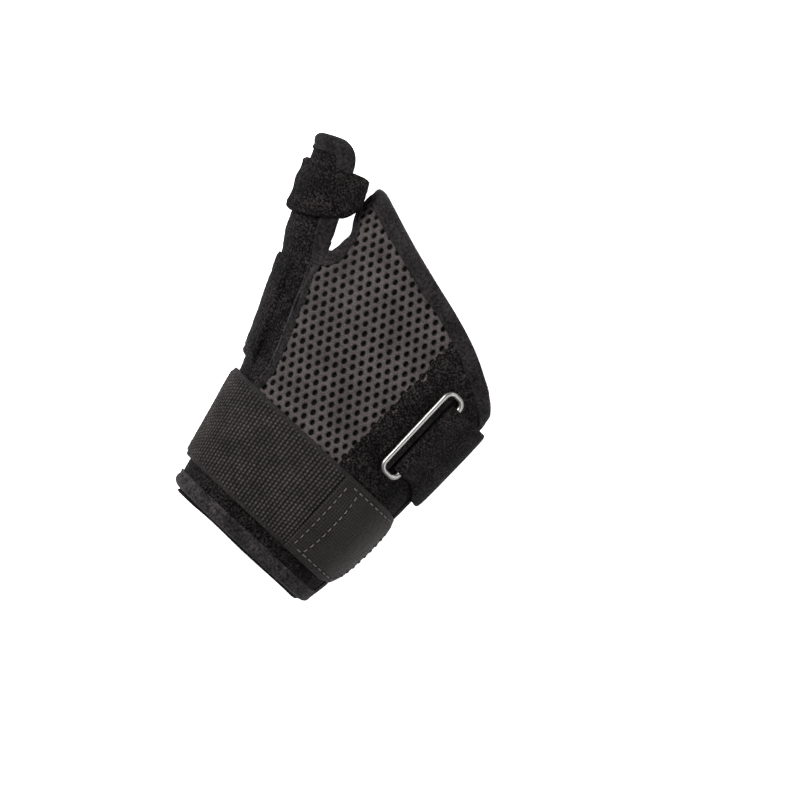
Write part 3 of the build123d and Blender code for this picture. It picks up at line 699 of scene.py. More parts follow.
def material(name, dark, light, rough, fine, coarse=160.0, split=(0.35, 0.7), bump=0.25,
             deep=0.0002, sheen=0.0, mottle=0.25, gloss=0.12, knitted=False, darken_by_painted_shade=False,
             dimpled=False):
    """A cloth-like material: two colours by fine grain, mottled by coarse noise, with a bump.

    knitted adds a knit's cells to the bump, the painted-shade flag multiplies the colour by the
    painted shade kept in the mesh's 'relief' attribute, and dimpled adds rows of tiny dark dimples
    that follow the piece."""
    graph = Graph(name)
    place = graph.add("TexCoord", "Object", {})
    grain = {"Vector": place, "Scale": fine, "Detail": 3.0, "Roughness": 0.65}
    grain = graph.add("TexNoise", "Fac", grain)
    patch = graph.add("TexNoise", "Fac", {"Vector": place, "Scale": coarse, "Detail": 4.0})
    mottled = {"From Min": 0.3, "From Max": 0.7, "To Min": 1.0 - mottle, "To Max": 1.0 + mottle}
    mottled = graph.add("MapRange", "Result", {"Value": patch, **mottled})
    colour = graph.times(graph.ramp(grain, split, dark, light), mottled)
    if darken_by_painted_shade:
        # Painted shade: the colour is multiplied by the 'relief' attribute, darker where shade
        # would fall.
        colour = graph.times(colour, graph.add("Attribute", "Fac", {}, attribute_name="relief"))
    spread = {"Value": grain, "To Min": max(0.05, rough - 0.1), "To Max": min(1.0, rough + 0.1)}
    spread = graph.add("MapRange", "Result", spread)
    height = grain
    if knitted:
        weave = {"Vector": place, "Scale": 900.0, "Randomness": 0.35}
        weave = graph.add("TexVoronoi", "Distance", weave)
        height = graph.add("Math", 0, {0: grain, 1: weave}, operation="ADD")
    normal = graph.add("Bump", "Normal", {"Strength": bump, "Distance": deep, "Height": height})
    if dimpled:
        dots = {"Vector": graph.add("TexCoord", "UV", {}), "Scale": 0.98, "Randomness": 0.12}
        dots = graph.add("TexVoronoi", "Distance", dots, voronoi_dimensions="2D")
        dots = graph.add("MapRange", "Result", {"Value": dots, "From Min": 0.16, "From Max": 0.34})
        paint = {"Factor": dots, "A": (0.0008, 0.0007, 0.0006, 1), "B": colour}
        colour = graph.add("Mix", "Result", paint, data_type="RGBA")
        pressed = {"Strength": 0.8, "Distance": 0.0003, "Height": dots, "Normal": normal}
        normal = graph.add("Bump", "Normal", pressed)
    return graph.surface({
        "Base Color": colour,
        "Roughness": spread,
        "Normal": normal,
        "Sheen Weight": sheen,
        "Sheen Roughness": 0.4,
        "Specular IOR Level": gloss,
    })


# The strands' colour is darkened by the painted shade in their mesh's 'relief' attribute.
MESH = material("mesh_strands", (0.016, 0.0130, 0.0130), (0.056, 0.0465, 0.0465), 0.8, 2400, 90,
                (0.34, 0.72), 0.6, 0.0003, 0.01, mottle=0.3, gloss=0.08, darken_by_painted_shade=True)
VELOUR = material("velour", (0.0010, 0.0008, 0.0008), (0.028, 0.0245, 0.0245), 0.95, 1500, 130,
                  (0.46, 0.80), 1.0, 0.0007, 0.01, mottle=0.5, gloss=0.03)
SUEDE = material("binding_tape", (0.0024, 0.0021, 0.0022), (0.0165, 0.0145, 0.0155), 0.9, 1200, 150,
                 (0.36, 0.74), 0.7, 0.0005, 0.015, mottle=0.45, gloss=0.05)
KNIT = material("cuff_knit", (0.0030, 0.0026, 0.0028), (0.027, 0.024, 0.025), 0.9, 1100, 170,
                (0.36, 0.74), 0.8, 0.0005, 0.02, mottle=0.5, gloss=0.05, knitted=True)
BRUSHED = material("brushed_lining", (0.003, 0.0026, 0.0028), (0.015, 0.014, 0.015), 0.95, 1600, 90,
                   (0.35, 0.75), 0.5, 0.0003, 0.02, gloss=0.04)
FOAM = material("foam_padding", (0.0014, 0.0012, 0.0012), (0.005, 0.0045, 0.0045), 0.95, 2200, 120,
                (0.35, 0.7), 0.4, 0.0002, gloss=0.03)
# The webbing's colour is darkened and lightened by painted shade and highlights in its 'relief'
# attribute.
ELASTIC = material("elastic_webbing", (0.0085, 0.0072, 0.0070), (0.052, 0.045, 0.044), 0.75, 2600,
                   120, (0.36, 0.74), 0.5, 0.0003, 0.0, mottle=0.3, gloss=0.07, darken_by_painted_shade=True)
HOOKS = material("hook_tape", (0.0022, 0.002, 0.002), (0.018, 0.016, 0.016), 0.7, 2600, 150,
                 (0.45, 0.75), 1.0, 0.0006, gloss=0.12)
THREAD = material("thread", (0.030, 0.027, 0.026), (0.085, 0.078, 0.075), 0.7, 4000, 200,
                  (0.3, 0.7), 0.4, 0.0001, gloss=0.1)
DARK_THREAD = material("dark_thread", (0.001, 0.0009, 0.0009), (0.006, 0.0055, 0.0055), 0.8, 4000,
                       200, (0.3, 0.7), 0.4, 0.0001, gloss=0.05)


def metal(name, colour, rough, grain_scale, bump):
    """A metal that is darker and smoother in patches of fine grain."""
    graph = Graph(name)
    place = graph.add("TexCoord", "Object", {})
    grain = {"Vector": place, "Scale": grain_scale, "Detail": 4.0}
    grain = graph.add("TexNoise", "Fac", grain)
    wear = {"Value": grain, "To Min": rough * 0.6, "To Max": rough * 1.7}
    raised = {"Strength": bump, "Distance": 0.0001, "Height": grain}
    return graph.surface({
        "Base Color": graph.ramp(grain, (0.35, 0.7), [v * 0.72 for v in colour], colour),
        "Metallic": 1.0,
        "Roughness": graph.add("MapRange", "Result", wear),
        "Normal": graph.add("Bump", "Normal", raised),
    })


LEATHERCLOTH = material("leathercloth", (0.0038, 0.0031, 0.0027), (0.0115, 0.0095, 0.0084), 0.6,
                        1900, 110, (0.36, 0.72), 0.35, mottle=0.3, gloss=0.1, dimpled=True)
STEEL = metal("polished_steel", (0.17, 0.165, 0.16), 0.30, 260.0, 0.12)
DULL_METAL = metal("stay_aluminium", (0.40, 0.40, 0.41), 0.34, 420.0, 0.04)
DIP = material("dipped_vinyl", (0.012, 0.012, 0.013), (0.030, 0.030, 0.032), 0.4, 700, 120,
               (0.3, 0.7), 0.2, 0.0002)


def finish_piece(o, mat, body, replaces=(), blend=None):
    """Gives a piece its material and body, and hides the CAD nodes that it stands for. With blend,
    its transform is baked in and it gets no body.
    """
    o.data.materials.clear()
    o.data.materials.append(mat)
    if blend:
        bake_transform(o)
    else:
        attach(o, body)
    if replaces:
        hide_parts(*replaces)
    return o


# ------------------------------------------------------------------ back half
o = cover("lining_back_cloth", BACK, -0.15, 0.85, 1.2, 21, 0.25)
finish_piece(o, BRUSHED, "wrap", ["lining_back"])
o = cover("padding_back_foam", BACK, 0.86, 2.15, 1.6, 22, 0.1)
finish_piece(o, FOAM, "wrap", ["padding_back"])


# The mesh's holes lie on a slanted lattice: its two steps, its origin, and a hole's half length,
# half width and slant.
MESH_STEPS = np.array([(1.95, -2.58), (1.28, 2.96)])
MESH_ORIGIN = np.array([-20.0, 30.0])
HOLE_HALVES, HOLE_SLANT = (1.04, 0.58), math.radians(97)
CELL_SIDES = 12
# A strand's section from its crown into a hole and back underneath: how near the cell's edge, how
# near the hole's edge, its depth, and its painted light: lightest just off the crown, darker down
# the slopes into the hole and darkest underneath, where shade would fall.
STRAND = [
    (1.0, 0.0, 3.24, 0.82), (0.80, 0.20, 3.23, 1.0), (0.55, 0.45, 3.16, 0.95),
    (0.30, 0.70, 3.03, 0.62), (0.12, 0.88, 2.84, 0.22), (0.0, 1.0, 2.55, 0.03),
    (0.0, 1.02, 2.15, 0.05), (1.0, 0.0, 2.15, 0.05),
]
STRAND_BACK = 2.6


def mesh_centres():
    """Centres of the holes within the mesh's outline, in the surface's own places."""
    left = [(seam_g(y) - 0.6, float(y)) for y in np.arange(62.0, 11.0, -3.0)]
    low = [(float(g_radial(y)) + 1.5, float(y)) for y in (2.0, -8.0, -14.0)]
    right = [(float(g_face(y)) + 1.3, float(y)) for y in np.arange(-14.0, 79.0, 4.0)]
    edge = DISTAL_LINE[DISTAL_LINE[:, 0] < right[-1][0] + 2]
    polygon = np.vstack([edge, opening_foot, left, low, right])
    i, j = np.mgrid[-45:46, -45:46].reshape(2, -1, 1)
    c = i * MESH_STEPS[0] + j * MESH_STEPS[1] + MESH_ORIGIN
    c = c[inside(polygon, c[:, 0], c[:, 1])]
    return c[distance_to(np.vstack([DISTAL_LINE, opening_foot]), c[:, 0], c[:, 1]) >= 1.4]


def mesh_cell():
    """One cell's six-sided edge and its almond hole, as rings round the cell's centre."""
    a, b = MESH_STEPS
    units = np.array([a, a + b, b, -a, -a - b, -b])
    corners = (units + np.roll(units, -1, axis=0)) / 3
    edge = np.empty((CELL_SIDES, 2))
    edge[0::2] = corners
    edge[1::2] = (corners + np.roll(corners, -1, axis=0)) / 2
    angle = np.arctan2(edge[:, 1], edge[:, 0])
    c, s = np.cos(angle - HOLE_SLANT), np.sin(angle - HOLE_SLANT)
    radius = 1.0 / np.sqrt((c / HOLE_HALVES[0]) ** 2 + (s / HOLE_HALVES[1]) ** 2)
    pinch = 1 - 0.10 * np.abs(c) ** 6
    return edge, np.stack([np.cos(angle), np.sin(angle)], -1) * (radius * pinch)[:, None]


def hex_mesh(name):
    """The open mesh: rounded strands round almond holes, on a sheared hexagonal lattice."""
    edge, hole = mesh_cell()
    knot = np.where(np.arange(CELL_SIDES) % 2 == 0, -0.16, 0.05)
    quads = ring_quads(len(STRAND), CELL_SIDES)
    points, faces = [], []
    jitter = np.random.default_rng(5)
    centre_points = mesh_centres()
    for index, c in enumerate(centre_points):
        grow = 1 + jitter.uniform(-0.07, 0.07)
        shift = jitter.uniform(-0.07, 0.07, 2)
        raise_by = jitter.uniform(-0.05, 0.05)
        for share, rest, t, _ in STRAND:
            a, b = (c + edge * share + (hole * grow + shift) * rest).T
            depth = t + (raise_by if 0 < share < 1 else 0)
            if t > STRAND_BACK:
                depth = depth + 0.11 * noise2(a, b, 0.9, 77) + knot * share
            points.append(wrap(a, b, depth))
        faces.append(quads + index * len(STRAND) * CELL_SIDES)
    # Painted shade per point from STRAND's last column: the slopes into each hole and the underside
    # are darkened as if in shade.
    painted_shade = np.tile(np.repeat([light for *_, light in STRAND], CELL_SIDES), len(centre_points))
    o = make_mesh(name, np.vstack(points), np.vstack(faces), painted_shade=painted_shade)
    return turn_outwards(o, merge=0.00002)


o = hex_mesh("open_mesh")
finish_piece(o, MESH, "wrap", ["mesh_panel"])


UNDER_FACE = 2.16


def folded_edge(distance, top=3.55, groove=1.9):
    """Height of a panel by distance from its folded edge: a rounded lip, then a stitched dip."""
    lip = 2.5 + (top - 2.5) * np.sqrt(np.clip(1 - (1 - np.clip(distance / 0.9, 0, 1)) ** 2, 0, 1))
    return lip - 0.30 * np.exp(-(((distance - groove) / 0.4) ** 2))


def seam_cord(name, shift, wide, top, seed):
    """The folded edge of a panel along the seam between the mesh and the thumb's velour."""
    step, foot = 0.7, 2.9
    line = np.array([(seam_g(y) + shift, y) for y in np.arange(61.0, -14.0, -step)])
    side = line_normals(line)
    along = np.arange(len(line)) * step
    wave = 0.22 * noise2(along, along * 0, 5.0, seed)
    rings = []
    for turn in round_turns(12):
        a, b = (line + side * (wide * math.cos(turn) + wave)[:, None]).T
        rings.append(wrap(a, b, foot + 0.1 * wave + (top - foot) * max(-0.4, math.sin(turn))))
    return tubes(name, [np.stack(rings, 1)])


o = seam_cord("mesh_seam_fold", 0.2, 1.25, 3.62, 191)
finish_piece(o, SUEDE, "wrap")
o = seam_cord("mesh_seam_piping", -1.5, 0.55, 3.50, 193)
finish_piece(o, KNIT, "wrap")


def ulnar_velour(name):
    """The velour from the mesh's seam to the ulnar edge, with its own folded edge at the seam."""
    y, share = np.meshgrid(np.arange(-26.0, 80.0, 0.55), np.linspace(0, 1, 92), indexing="ij")
    g0, g1 = g_face(y), g_ulnar(y)
    g = g0 + (g1 - g0) * share
    t = folded_edge(g - g0, 3.35)
    t = t + 0.10 * noise2(g, y, 1.1, 31) + 0.12 * noise2(g, y, 4.5, 32)
    t = t + 0.10 * noise2(g, y, 14, 33)
    low = np.minimum(t - 0.3, UNDER_FACE)
    return shell(name, wrap(g, y, low), wrap(g, y, t), within(BACK, g, y, 2.2))


o = ulnar_velour("ulnar_velour_panel")
finish_piece(o, VELOUR, "wrap", ["ulnar_panel"])

seam_rows = np.arange(17.0, 73.0, 2.0)
seam_stitch = np.stack([g_face(seam_rows) + 1.9, seam_rows], -1)
o = stitches("velour_seam_stitches", wrap, seam_stitch, 3.02, 1.8, 1.2, 0.16)
finish_piece(o, DARK_THREAD, "wrap")


def slot_edge(inset):
    """The slot's rounded outline on the surface, drawn out by inset."""
    x0, x1, y0, y1 = SLOT[0] - inset, SLOT[1] + inset, SLOT[2] - inset, SLOT[3] + inset
    r = min(1.3 + inset, (x1 - x0) / 2 - 0.01)
    corners = [(x1 - r, y0 + r), (x1 - r, y1 - r), (x0 + r, y1 - r), (x0 + r, y0 + r)]
    out = []
    for (cx, cy), start in zip(corners, (-90, 0, 90, 180)):
        for a in np.radians(np.linspace(start, start + 90, 7)):
            out.append((cx + r * math.cos(a), cy + r * math.sin(a)))
    out.append(out[0])
    line = smooth_line(out, 0.5)
    return np.stack([g_of_x(line[:, 0], line[:, 1], 3.0), line[:, 1]], -1)


# The welt's section: how far out from the slot's edge, as a share of its width, and its depth.
WELT = [
    (0.0, 0.4), (0.0, 2.6), (0.08, 3.4), (0.3, 3.85), (0.5, 3.8), (0.62, 3.55),
    (0.75, 3.72), (0.88, 3.75), (0.98, 3.5), (1.02, 3.0), (0.6, 2.6), (0.3, 1.5),
]
WELT_STEPS, WELT_BEADS = 170, 70


def welt(name):
    """A sewn roll round the slot, with a beaded outer line."""
    pick = np.linspace(0, 1, WELT_STEPS, endpoint=False)
    inner, outer = (
        at_places(pick, np.linspace(0, 1, len(line)), line)
        for line in (slot_edge(-0.25), slot_edge(1.55))
    )
    bead = 0.14 * np.sin(np.arange(WELT_STEPS) * 2 * math.pi * WELT_BEADS / WELT_STEPS)
    rings = []
    for share, t in WELT:
        a, b = (inner + (outer - inner) * share).T
        rings.append(wrap(a, b, t + (bead if 0.7 < share < 0.95 else 0)))
    p = np.stack(rings, 1)
    index = np.arange(p.shape[0] * p.shape[1]).reshape(p.shape[:2])
    nxt, up = np.roll(index, -1, axis=0), np.roll(index, -1, axis=1)
    faces = np.stack([index, up, np.roll(nxt, -1, axis=1), nxt], -1).reshape(-1, 4)
    return turn_outwards(make_mesh(name, p.reshape(-1, 3), faces))


o = welt("slot_edge_welt")
finish_piece(o, SUEDE, "wrap", ["slot_welt"])


# ------------------------------------------------------------------ tapes folded over the edges
# The spacing of a tape's stitches, and its width from the fold to its inner side.
PUCKER = 3.9
TAPE_WIDTH = 5.5


def edge_run(surface, line, width=TAPE_WIDTH):
    """Where a tape's fold and its inner side lie on a surface, with the outward directions."""
    inner = drawn_in(line, width)
    out = []
    for p in (line, inner):
        base = surface(p[:, 0], p[:, 1], 0.0)
        out += [base, surface(p[:, 0], p[:, 1], 1.0) - base]
    return out


def tape(name, edge, edge_out, inner, inner_out, seed, bumps=0.16, arch=0.25):
    """A folded tape through the lines of its fold and of its inner side."""
    along = arc_length(edge)
    rings = np.zeros((len(edge), len(FOLD), 3))
    for k, (d, t) in enumerate(FOLD):
        share = d / TAPE_WIDTH
        depth = np.full(len(edge), t) + arch * 4 * share * (1 - share)
        if t > 1.5:
            depth = depth + bumps * noise2(along, np.full(len(edge), k * 1.3), 2.4, seed)
            depth = depth + bumps * noise2(along, np.full(len(edge), k * 0.3), 8.0, seed + 1)
            pinch = 0.5 + 0.5 * np.cos(2 * np.pi * along / PUCKER)
            depth = depth - 0.26 * pinch**2 * math.exp(-(((share - 0.66) / 0.2) ** 2))
        wave = 0.18 * noise2(along, np.zeros(len(edge)), 5.0, seed + 2)[:, None] * (d > 4)
        out = edge_out * (1 - share) + inner_out * share
        step = (inner - edge) / TAPE_WIDTH
        rings[:, k] = edge + (inner - edge) * share + step * wave + out * depth[:, None]
    return tubes(name, [rings])


def tape_stitches(name, edge, edge_out, inner, inner_out):
    """Dark stitches along the middle of a tape, left out where it narrows or turns sharply."""
    share, t, length, radius, count = 0.68, 3.42, 1.5, 0.2, 6
    base = edge + (inner - edge) * share
    out = edge_out * (1 - share) + inner_out * share
    along = arc_length(base)
    wide = np.linalg.norm(inner - edge, axis=1)
    sink = np.linspace(-1, 1, count)
    runs = []
    for start in np.arange(PUCKER - length / 2, along[-1] - length - 1, PUCKER):
        s = np.linspace(start, start + length, count)
        p, up = at_places(s, along, base), at_places(s, along, out)
        first, last = p[1] - p[0], p[-1] - p[-2]
        bend = first @ last / (np.linalg.norm(first) * np.linalg.norm(last))
        straight = bend >= 0.85 and np.linalg.norm(up[0] - up[-1]) <= 0.35
        if straight and 4.0 < np.interp(start, along, wide) < 6.5:
            centre = p + up * (t + radius * 0.6 - sink**4 * radius * 2.0)[:, None]
            runs.append(stitch(centre, up, radius, 7))
    return tubes(name, runs)


# The long tape: up the ulnar edge, round the top, down into the thumb opening, round its foot,
# and up the tongue to its tip, over it, and down its far side.
tip_v, foot_v, far_v = 96.3, 66.5, 52.0
tongue_edge = [(0.0, v) for v in np.arange(foot_v, 88.0, 4.0)]
wide = float(width_at(tip_v))
tongue_tip = [
    (-0.1, 89.5), (-0.8, 92.2), (-2.3, 94.4), (-4.9, 95.9), (-8.5, tip_v), (-wide / 2, tip_v),
    (-wide + 7.0, tip_v - 0.4), (-wide + 2.4, tip_v - 2.0), (-wide + 0.3, tip_v - 5.5),
]
tongue_far = [(-float(width_at(v)), v) for v in np.arange(86.0, far_v, -5.0)]
TONGUE_LINE = smooth_line(tongue_edge + tongue_tip + tongue_far)
arm = np.arange(len(BACK_LINE)) > np.argmax(BACK_LINE[:, 1]) + 1
arm_width = np.interp(BACK_LINE[:, 1], [70.0, 78.0, 86.0, 90.5], [3.6, 2.0, 2.0, 5.0])
back_run = edge_run(wrap, BACK_LINE, np.where(arm, arm_width, TAPE_WIDTH))
tongue_run = edge_run(tongue_b, TONGUE_LINE)


def blended_point(x, y):
    """A plan place round the opening's foot: on the wrap, easing over to the tongue."""
    g = float(g_of_x(x, y)[0])
    a, a_out = wrap(g, y, 0.0), wrap(g, y, 1.0) - wrap(g, y, 0.0)
    across, v = np.meshgrid(np.linspace(0, 14, 57), np.linspace(52, 72, 81), indexing="ij")
    p = tongue(across, v, 2.0)
    k = np.argmin((p[..., 0] - x) ** 2 + (p[..., 1] - y) ** 2)
    a1, v1 = across.ravel()[k], v.ravel()[k]
    b = tongue(a1, v1, 0.0)
    b_out = tongue(a1, v1, 1.0) - b
    w = float(ease((-40.5 - x) / 5.0))
    return a * (1 - w) + b * w, a_out * (1 - w) + b_out * w


BRIDGE_STEPS = 22


def bridge(run_a, run_b, edge_way, inner_way):
    """One tape's lines from two runs, with a smooth turn through plan places between them."""
    lines = []
    for base, way in ((0, edge_way), (2, inner_way)):
        a, b = run_a[base], run_b[base]
        middle = [blended_point(*place) for place in way]
        points = np.vstack([a[-4], a[-1], [m[0] for m in middle], b[0], b[3]])
        line = smooth_line(points, 0.2)
        along = arc_length(line)
        start = along[np.argmin(np.linalg.norm(line - a[-1], axis=1))]
        end = along[np.argmin(np.linalg.norm(line - b[0], axis=1))]
        want = np.linspace(start, end, BRIDGE_STEPS + 2)[1:-1]
        turn = at_places(want, along, line)
        outs = np.vstack([run_a[base + 1][-1], [m[1] for m in middle], run_b[base + 1][0]])
        at = np.linspace(0, 1, len(outs))
        pick = np.linspace(0, 1, BRIDGE_STEPS + 2)[1:-1]
        turn_out = at_places(pick, at, outs)
        lines.append(np.vstack([a, turn, b]))
        lines.append(np.vstack([run_a[base + 1], turn_out, run_b[base + 1]]))
    return lines


EDGE_WAY = [(-41.4, 67.2), (-42.7, 64.9), (-44.2, 66.6)]
INNER_WAY = [(-37.6, 65.0), (-40.4, 60.0), (-44.4, 58.6), (-48.2, 62.4)]
long_tape = bridge(back_run, tongue_run, EDGE_WAY, INNER_WAY)
BACK_END = len(back_run[0])


def part_of(lines, first, last):
    return [line[first:last] for line in lines]


o = tape("distal_edge_tape", *part_of(long_tape, 0, BACK_END - 6), seed=41)
finish_piece(o, SUEDE, "wrap", ["distal_binding"])
foot_end = BACK_END + BRIDGE_STEPS + 10
o = tape("opening_edge_tape", *part_of(long_tape, BACK_END - 7, foot_end), seed=42)
finish_piece(o, SUEDE, "wrap", ["opening_binding"])
o = tape("tongue_edge_tape", *part_of(long_tape, foot_end - 1, len(long_tape[0])), seed=43)
finish_piece(o, SUEDE, "wrap", ["tongue_tip_binding", "tongue_side_bindings"])
o = tape_stitches("edge_tape_stitches", *long_tape)
finish_piece(o, DARK_THREAD, "wrap")

PALM_RUN = edge_run(wrap, PALM_LINE)
o = tape("palm_edge_tape", *PALM_RUN, seed=44)
finish_piece(o, SUEDE, "wrap", ["palm_binding"])
o = tape_stitches("palm_tape_stitches", *PALM_RUN)
finish_piece(o, DARK_THREAD, "wrap")

# The cuff's tape runs right round, from the palm half's free edge to the back half's.
CUFF_RUN = edge_run(wrap, CUFF_PATH, 5.0)
o = tape("cuff_edge_tape", *CUFF_RUN, seed=45, bumps=0.22)
finish_piece(o, KNIT, "wrap", ["cuff_binding_back", "cuff_binding_palm"])
o = tape_stitches("cuff_tape_stitches", *CUFF_RUN)
finish_piece(o, DARK_THREAD, "wrap")


# ------------------------------------------------------------------ tongue
def within_tongue(a, v):
    """Whether each cell is inside the tongue's outline, near its tip."""
    x, y = centres(-a), centres(v)
    found = inside(TONGUE_LINE, x.ravel(), y.ravel()).reshape(x.shape)
    return found | (y < 88.0)


def tongue_cover(name, low, high, inset, seed, wave):
    """One even layer of the tongue."""
    v, u = grid(48.0, 96.2, 0.0, 1.0, 0.9, 1 / 44)
    a = u * width_at(v)
    near = distance_to(TONGUE_LINE, centres(-a), centres(v))
    keep = (near > inset) & within_tongue(a, v)
    move = wave * noise2(a, v, 6.0, seed)
    return shell(name, tongue(a, v, low + move * 0.5), tongue(a, v, high + move), keep)


o = tongue_cover("tongue_lining_cloth", -0.15, 0.85, 1.2, 51, 0.2)
finish_piece(o, BRUSHED, "wrap", ["tongue_lining"])
o = tongue_cover("tongue_foam", 0.86, 2.15, 1.6, 52, 0.1)
finish_piece(o, FOAM, "wrap", ["tongue_padding"])


def tongue_face(name):
    """The velour from the wrap's radial side up onto the thumb, over its mesh and palm seams."""
    v, u = grid(10.0, 96.2, 0.0, 1.0, 0.6, 1 / 96)
    wide = width_at(v)
    a = u * wide
    keep = (distance_to(TONGUE_LINE, centres(-a), centres(v)) > 2.2) & within_tongue(a, v)
    blend = ease((v - 60.0) / 4.0)
    t = np.minimum(folded_edge(a, 3.4), folded_edge(wide - a, 3.4)) * (1 - blend) + 3.2 * blend
    t = t + 0.10 * noise2(a, v, 1.1, 61) + 0.14 * noise2(a, v, 4.5, 62)
    t = t + 0.14 * noise2(a, v, 15, 63)
    return shell(name, tongue(a, v, np.minimum(t - 0.3, UNDER_FACE)), tongue(a, v, t), keep)


o = tongue_face("tongue_velour_face")
finish_piece(o, VELOUR, "wrap", ["thumb_panel", "tongue_velour"])
rows = np.arange(17.0, 60.0, 2.0)
for name, place in (("near", lambda v: v * 0 - 1.9), ("far", lambda v: 1.9 - width_at(v))):
    o = stitches("tongue_seam_stitches_" + name, tongue_b, np.stack([place(rows), rows], -1), 3.05,
                 1.8, 1.2, 0.16)
    finish_piece(o, DARK_THREAD, "wrap")


def radial_pocket(name):
    """The raised pocket on the radial side, with a rounded lower end and a seam along its edge."""
    k, y = np.meshgrid(np.linspace(0, 1, 60), np.linspace(20.8, 54.0, 62), indexing="ij")
    g0 = np.array([g_of_turn(148.0, yi)[0] for yi in y[0]])[None, :]
    g1 = np.array([g_of_turn(204.0, yi)[0] for yi in y[0]])[None, :]
    g = g0 + (g1 - g0) * k
    across = np.minimum(g0 - g, g - g1)
    gap = np.minimum(np.minimum(across, y - 20.8), (55.5 - y) * 0.30 + 0.02)
    rise = np.sqrt(np.clip(1 - (1 - np.clip(gap / 1.5, 0, 1)) ** 2, 0, 1))
    t = 2.9 + 2.05 * rise - 0.25 * np.exp(-(((gap - 2.6) / 0.4) ** 2))
    t = t + 0.12 * noise2(g, y, 1.1, 161) + 0.12 * noise2(g, y, 5.0, 162)
    return shell(name, wrap(g, y, 2.8 + 0 * t), wrap(g, y, np.maximum(t, 2.86)))


o = radial_pocket("radial_stay_pocket")
finish_piece(o, VELOUR, "wrap", ["radial_pocket"])


def cuff_face(name):
    """The plain cloth between the cuff's tape and the wrist strap."""
    g, y = grid(float(g_radial(-20.0)) - 1.5, float(g_face(-20.0)) + 1.0, -24.0, -12.5, 0.7, 0.7)
    t = 2.95 + 0.10 * noise2(g, y, 1.2, 171) + 0.10 * noise2(g, y, 6.0, 172)
    return shell(name, wrap(g, y, 2.2), wrap(g, y, t))


o = cuff_face("cuff_face_cloth")
finish_piece(o, VELOUR, "wrap")


def lining_lip(name):
    """The lining's rolled edge, which shows below the cuff's tape."""
    low = np.nonzero(wrap(CUFF_PATH[:, 0], CUFF_PATH[:, 1], 1.0)[:, 2] < 9.0)[0]
    path = CUFF_PATH[low[-1] + 1 :]
    along = np.arange(len(path)) * 0.8
    side = line_normals(path)
    line = path - side * (0.55 + 0.45 * noise2(along, along * 0, 14.0, 181))[:, None]
    rings = []
    for turn in round_turns(12):
        a, b = (line - side * 0.55 * math.cos(turn)).T
        rings.append(wrap(a, b, 0.75 + 0.75 * math.sin(turn)))
    return tubes(name, [np.stack(rings, 1)])


o = lining_lip("cuff_lining_lip")
finish_piece(o, FOAM, "wrap")

# ------------------------------------------------------------------ palm half
o = cover("lining_palm_cloth", PALM, -0.15, 0.85, 1.2, 23, 0.25)
finish_piece(o, BRUSHED, "wrap", ["lining_palm"])


CHANNEL_X, CHANNEL_HALF, CHANNEL_END = -3.0, 9.6, 70.0


def palm_foam(name):
    """The palm side's padding, in two leaves with the stay's channel between them."""
    g, y = grid(*PALM[2], 1.0, 1.0)
    x, depth_y, z = np.moveaxis(wrap(centres(g), centres(y), MID_DEPTH), -1, 0)
    channel = (np.abs(x - CHANNEL_X) < 8.6) & (z < 8.0) & (depth_y < 69.0)
    keep = within(PALM, g, y, 1.6) & ~channel
    return shell(name, wrap(g, y, 0.86), wrap(g, y, 2.15), keep)


o = palm_foam("padding_palm_foam")
finish_piece(o, FOAM, "wrap", ["padding_palm"])


def palm_face(name):
    """The palm side's velour, with the stitched groove round the stay's channel."""
    g, y = grid(-188.0, -50.0, -27.0, 78.0, 0.7, 0.7)
    across = np.abs(wrap(g, y, 3.0)[..., 0] - CHANNEL_X)
    t = 3.12 + 0.08 * noise2(g, y, 1.1, 71) + 0.08 * noise2(g, y, 9.0, 72)
    end = np.abs(y - CHANNEL_END) + 99 * (across > CHANNEL_HALF)
    groove = np.minimum(np.abs(across - CHANNEL_HALF), end)
    t = t - 0.25 * np.exp(-((groove / 0.5) ** 2)) * (y < CHANNEL_END + 0.5)
    return shell(name, wrap(g, y, 2.4), wrap(g, y, t), within(PALM, g, y, 2.2))


o = palm_face("palm_velour_face")
finish_piece(o, VELOUR, "wrap", ["palm_panel"])

channel_rows = np.arange(-20.0, 69.0, 3.0)
for name, x in (("radial", CHANNEL_X - CHANNEL_HALF), ("ulnar", CHANNEL_X + CHANNEL_HALF)):
    g = g_of_x(np.full(len(channel_rows), x), channel_rows, under=True)
    line = np.stack([g, channel_rows], -1)
    o = stitches("stay_channel_stitches_" + name, wrap, line, 2.95, 1.8, 1.3, 0.16)
    finish_piece(o, DARK_THREAD, "wrap")


def pillow(name, cx, cy, wide, long, low, high, puff):
    """A rounded pad lying on its flat underside, crowned on the other face."""
    u = np.sin(np.linspace(-1, 1, 40) * math.pi / 2)
    a, b = np.meshgrid(u, u, indexing="ij")
    reach = (np.abs(a) ** 6 + np.abs(b) ** 6) ** (1 / 6)
    big = np.maximum(np.abs(a), np.abs(b))
    scale = np.where(reach > 0, big / np.maximum(reach, 1e-9), 1)
    x, y = cx + a * scale * wide / 2, cy + b * scale * long / 2
    edge = np.clip(1 - big**8, 0, 1) ** 0.5
    top = low + (high - low) * (0.45 + 0.55 * edge) + puff * noise2(x, y, 6.0, 81) * edge
    bottom = low + (high - low) * 0.45 * (1 - edge)
    top = np.maximum(top, bottom + 0.02)
    return shell(name, np.stack([x, y, bottom], -1), np.stack([x, y, top], -1))


o = pillow("palm_pad_cover", -5.0, 44.0, 28.0, 44.0, 0.02, 2.28, 0.05)
finish_piece(o, LEATHERCLOTH, "wrap", ["palm_pad"])


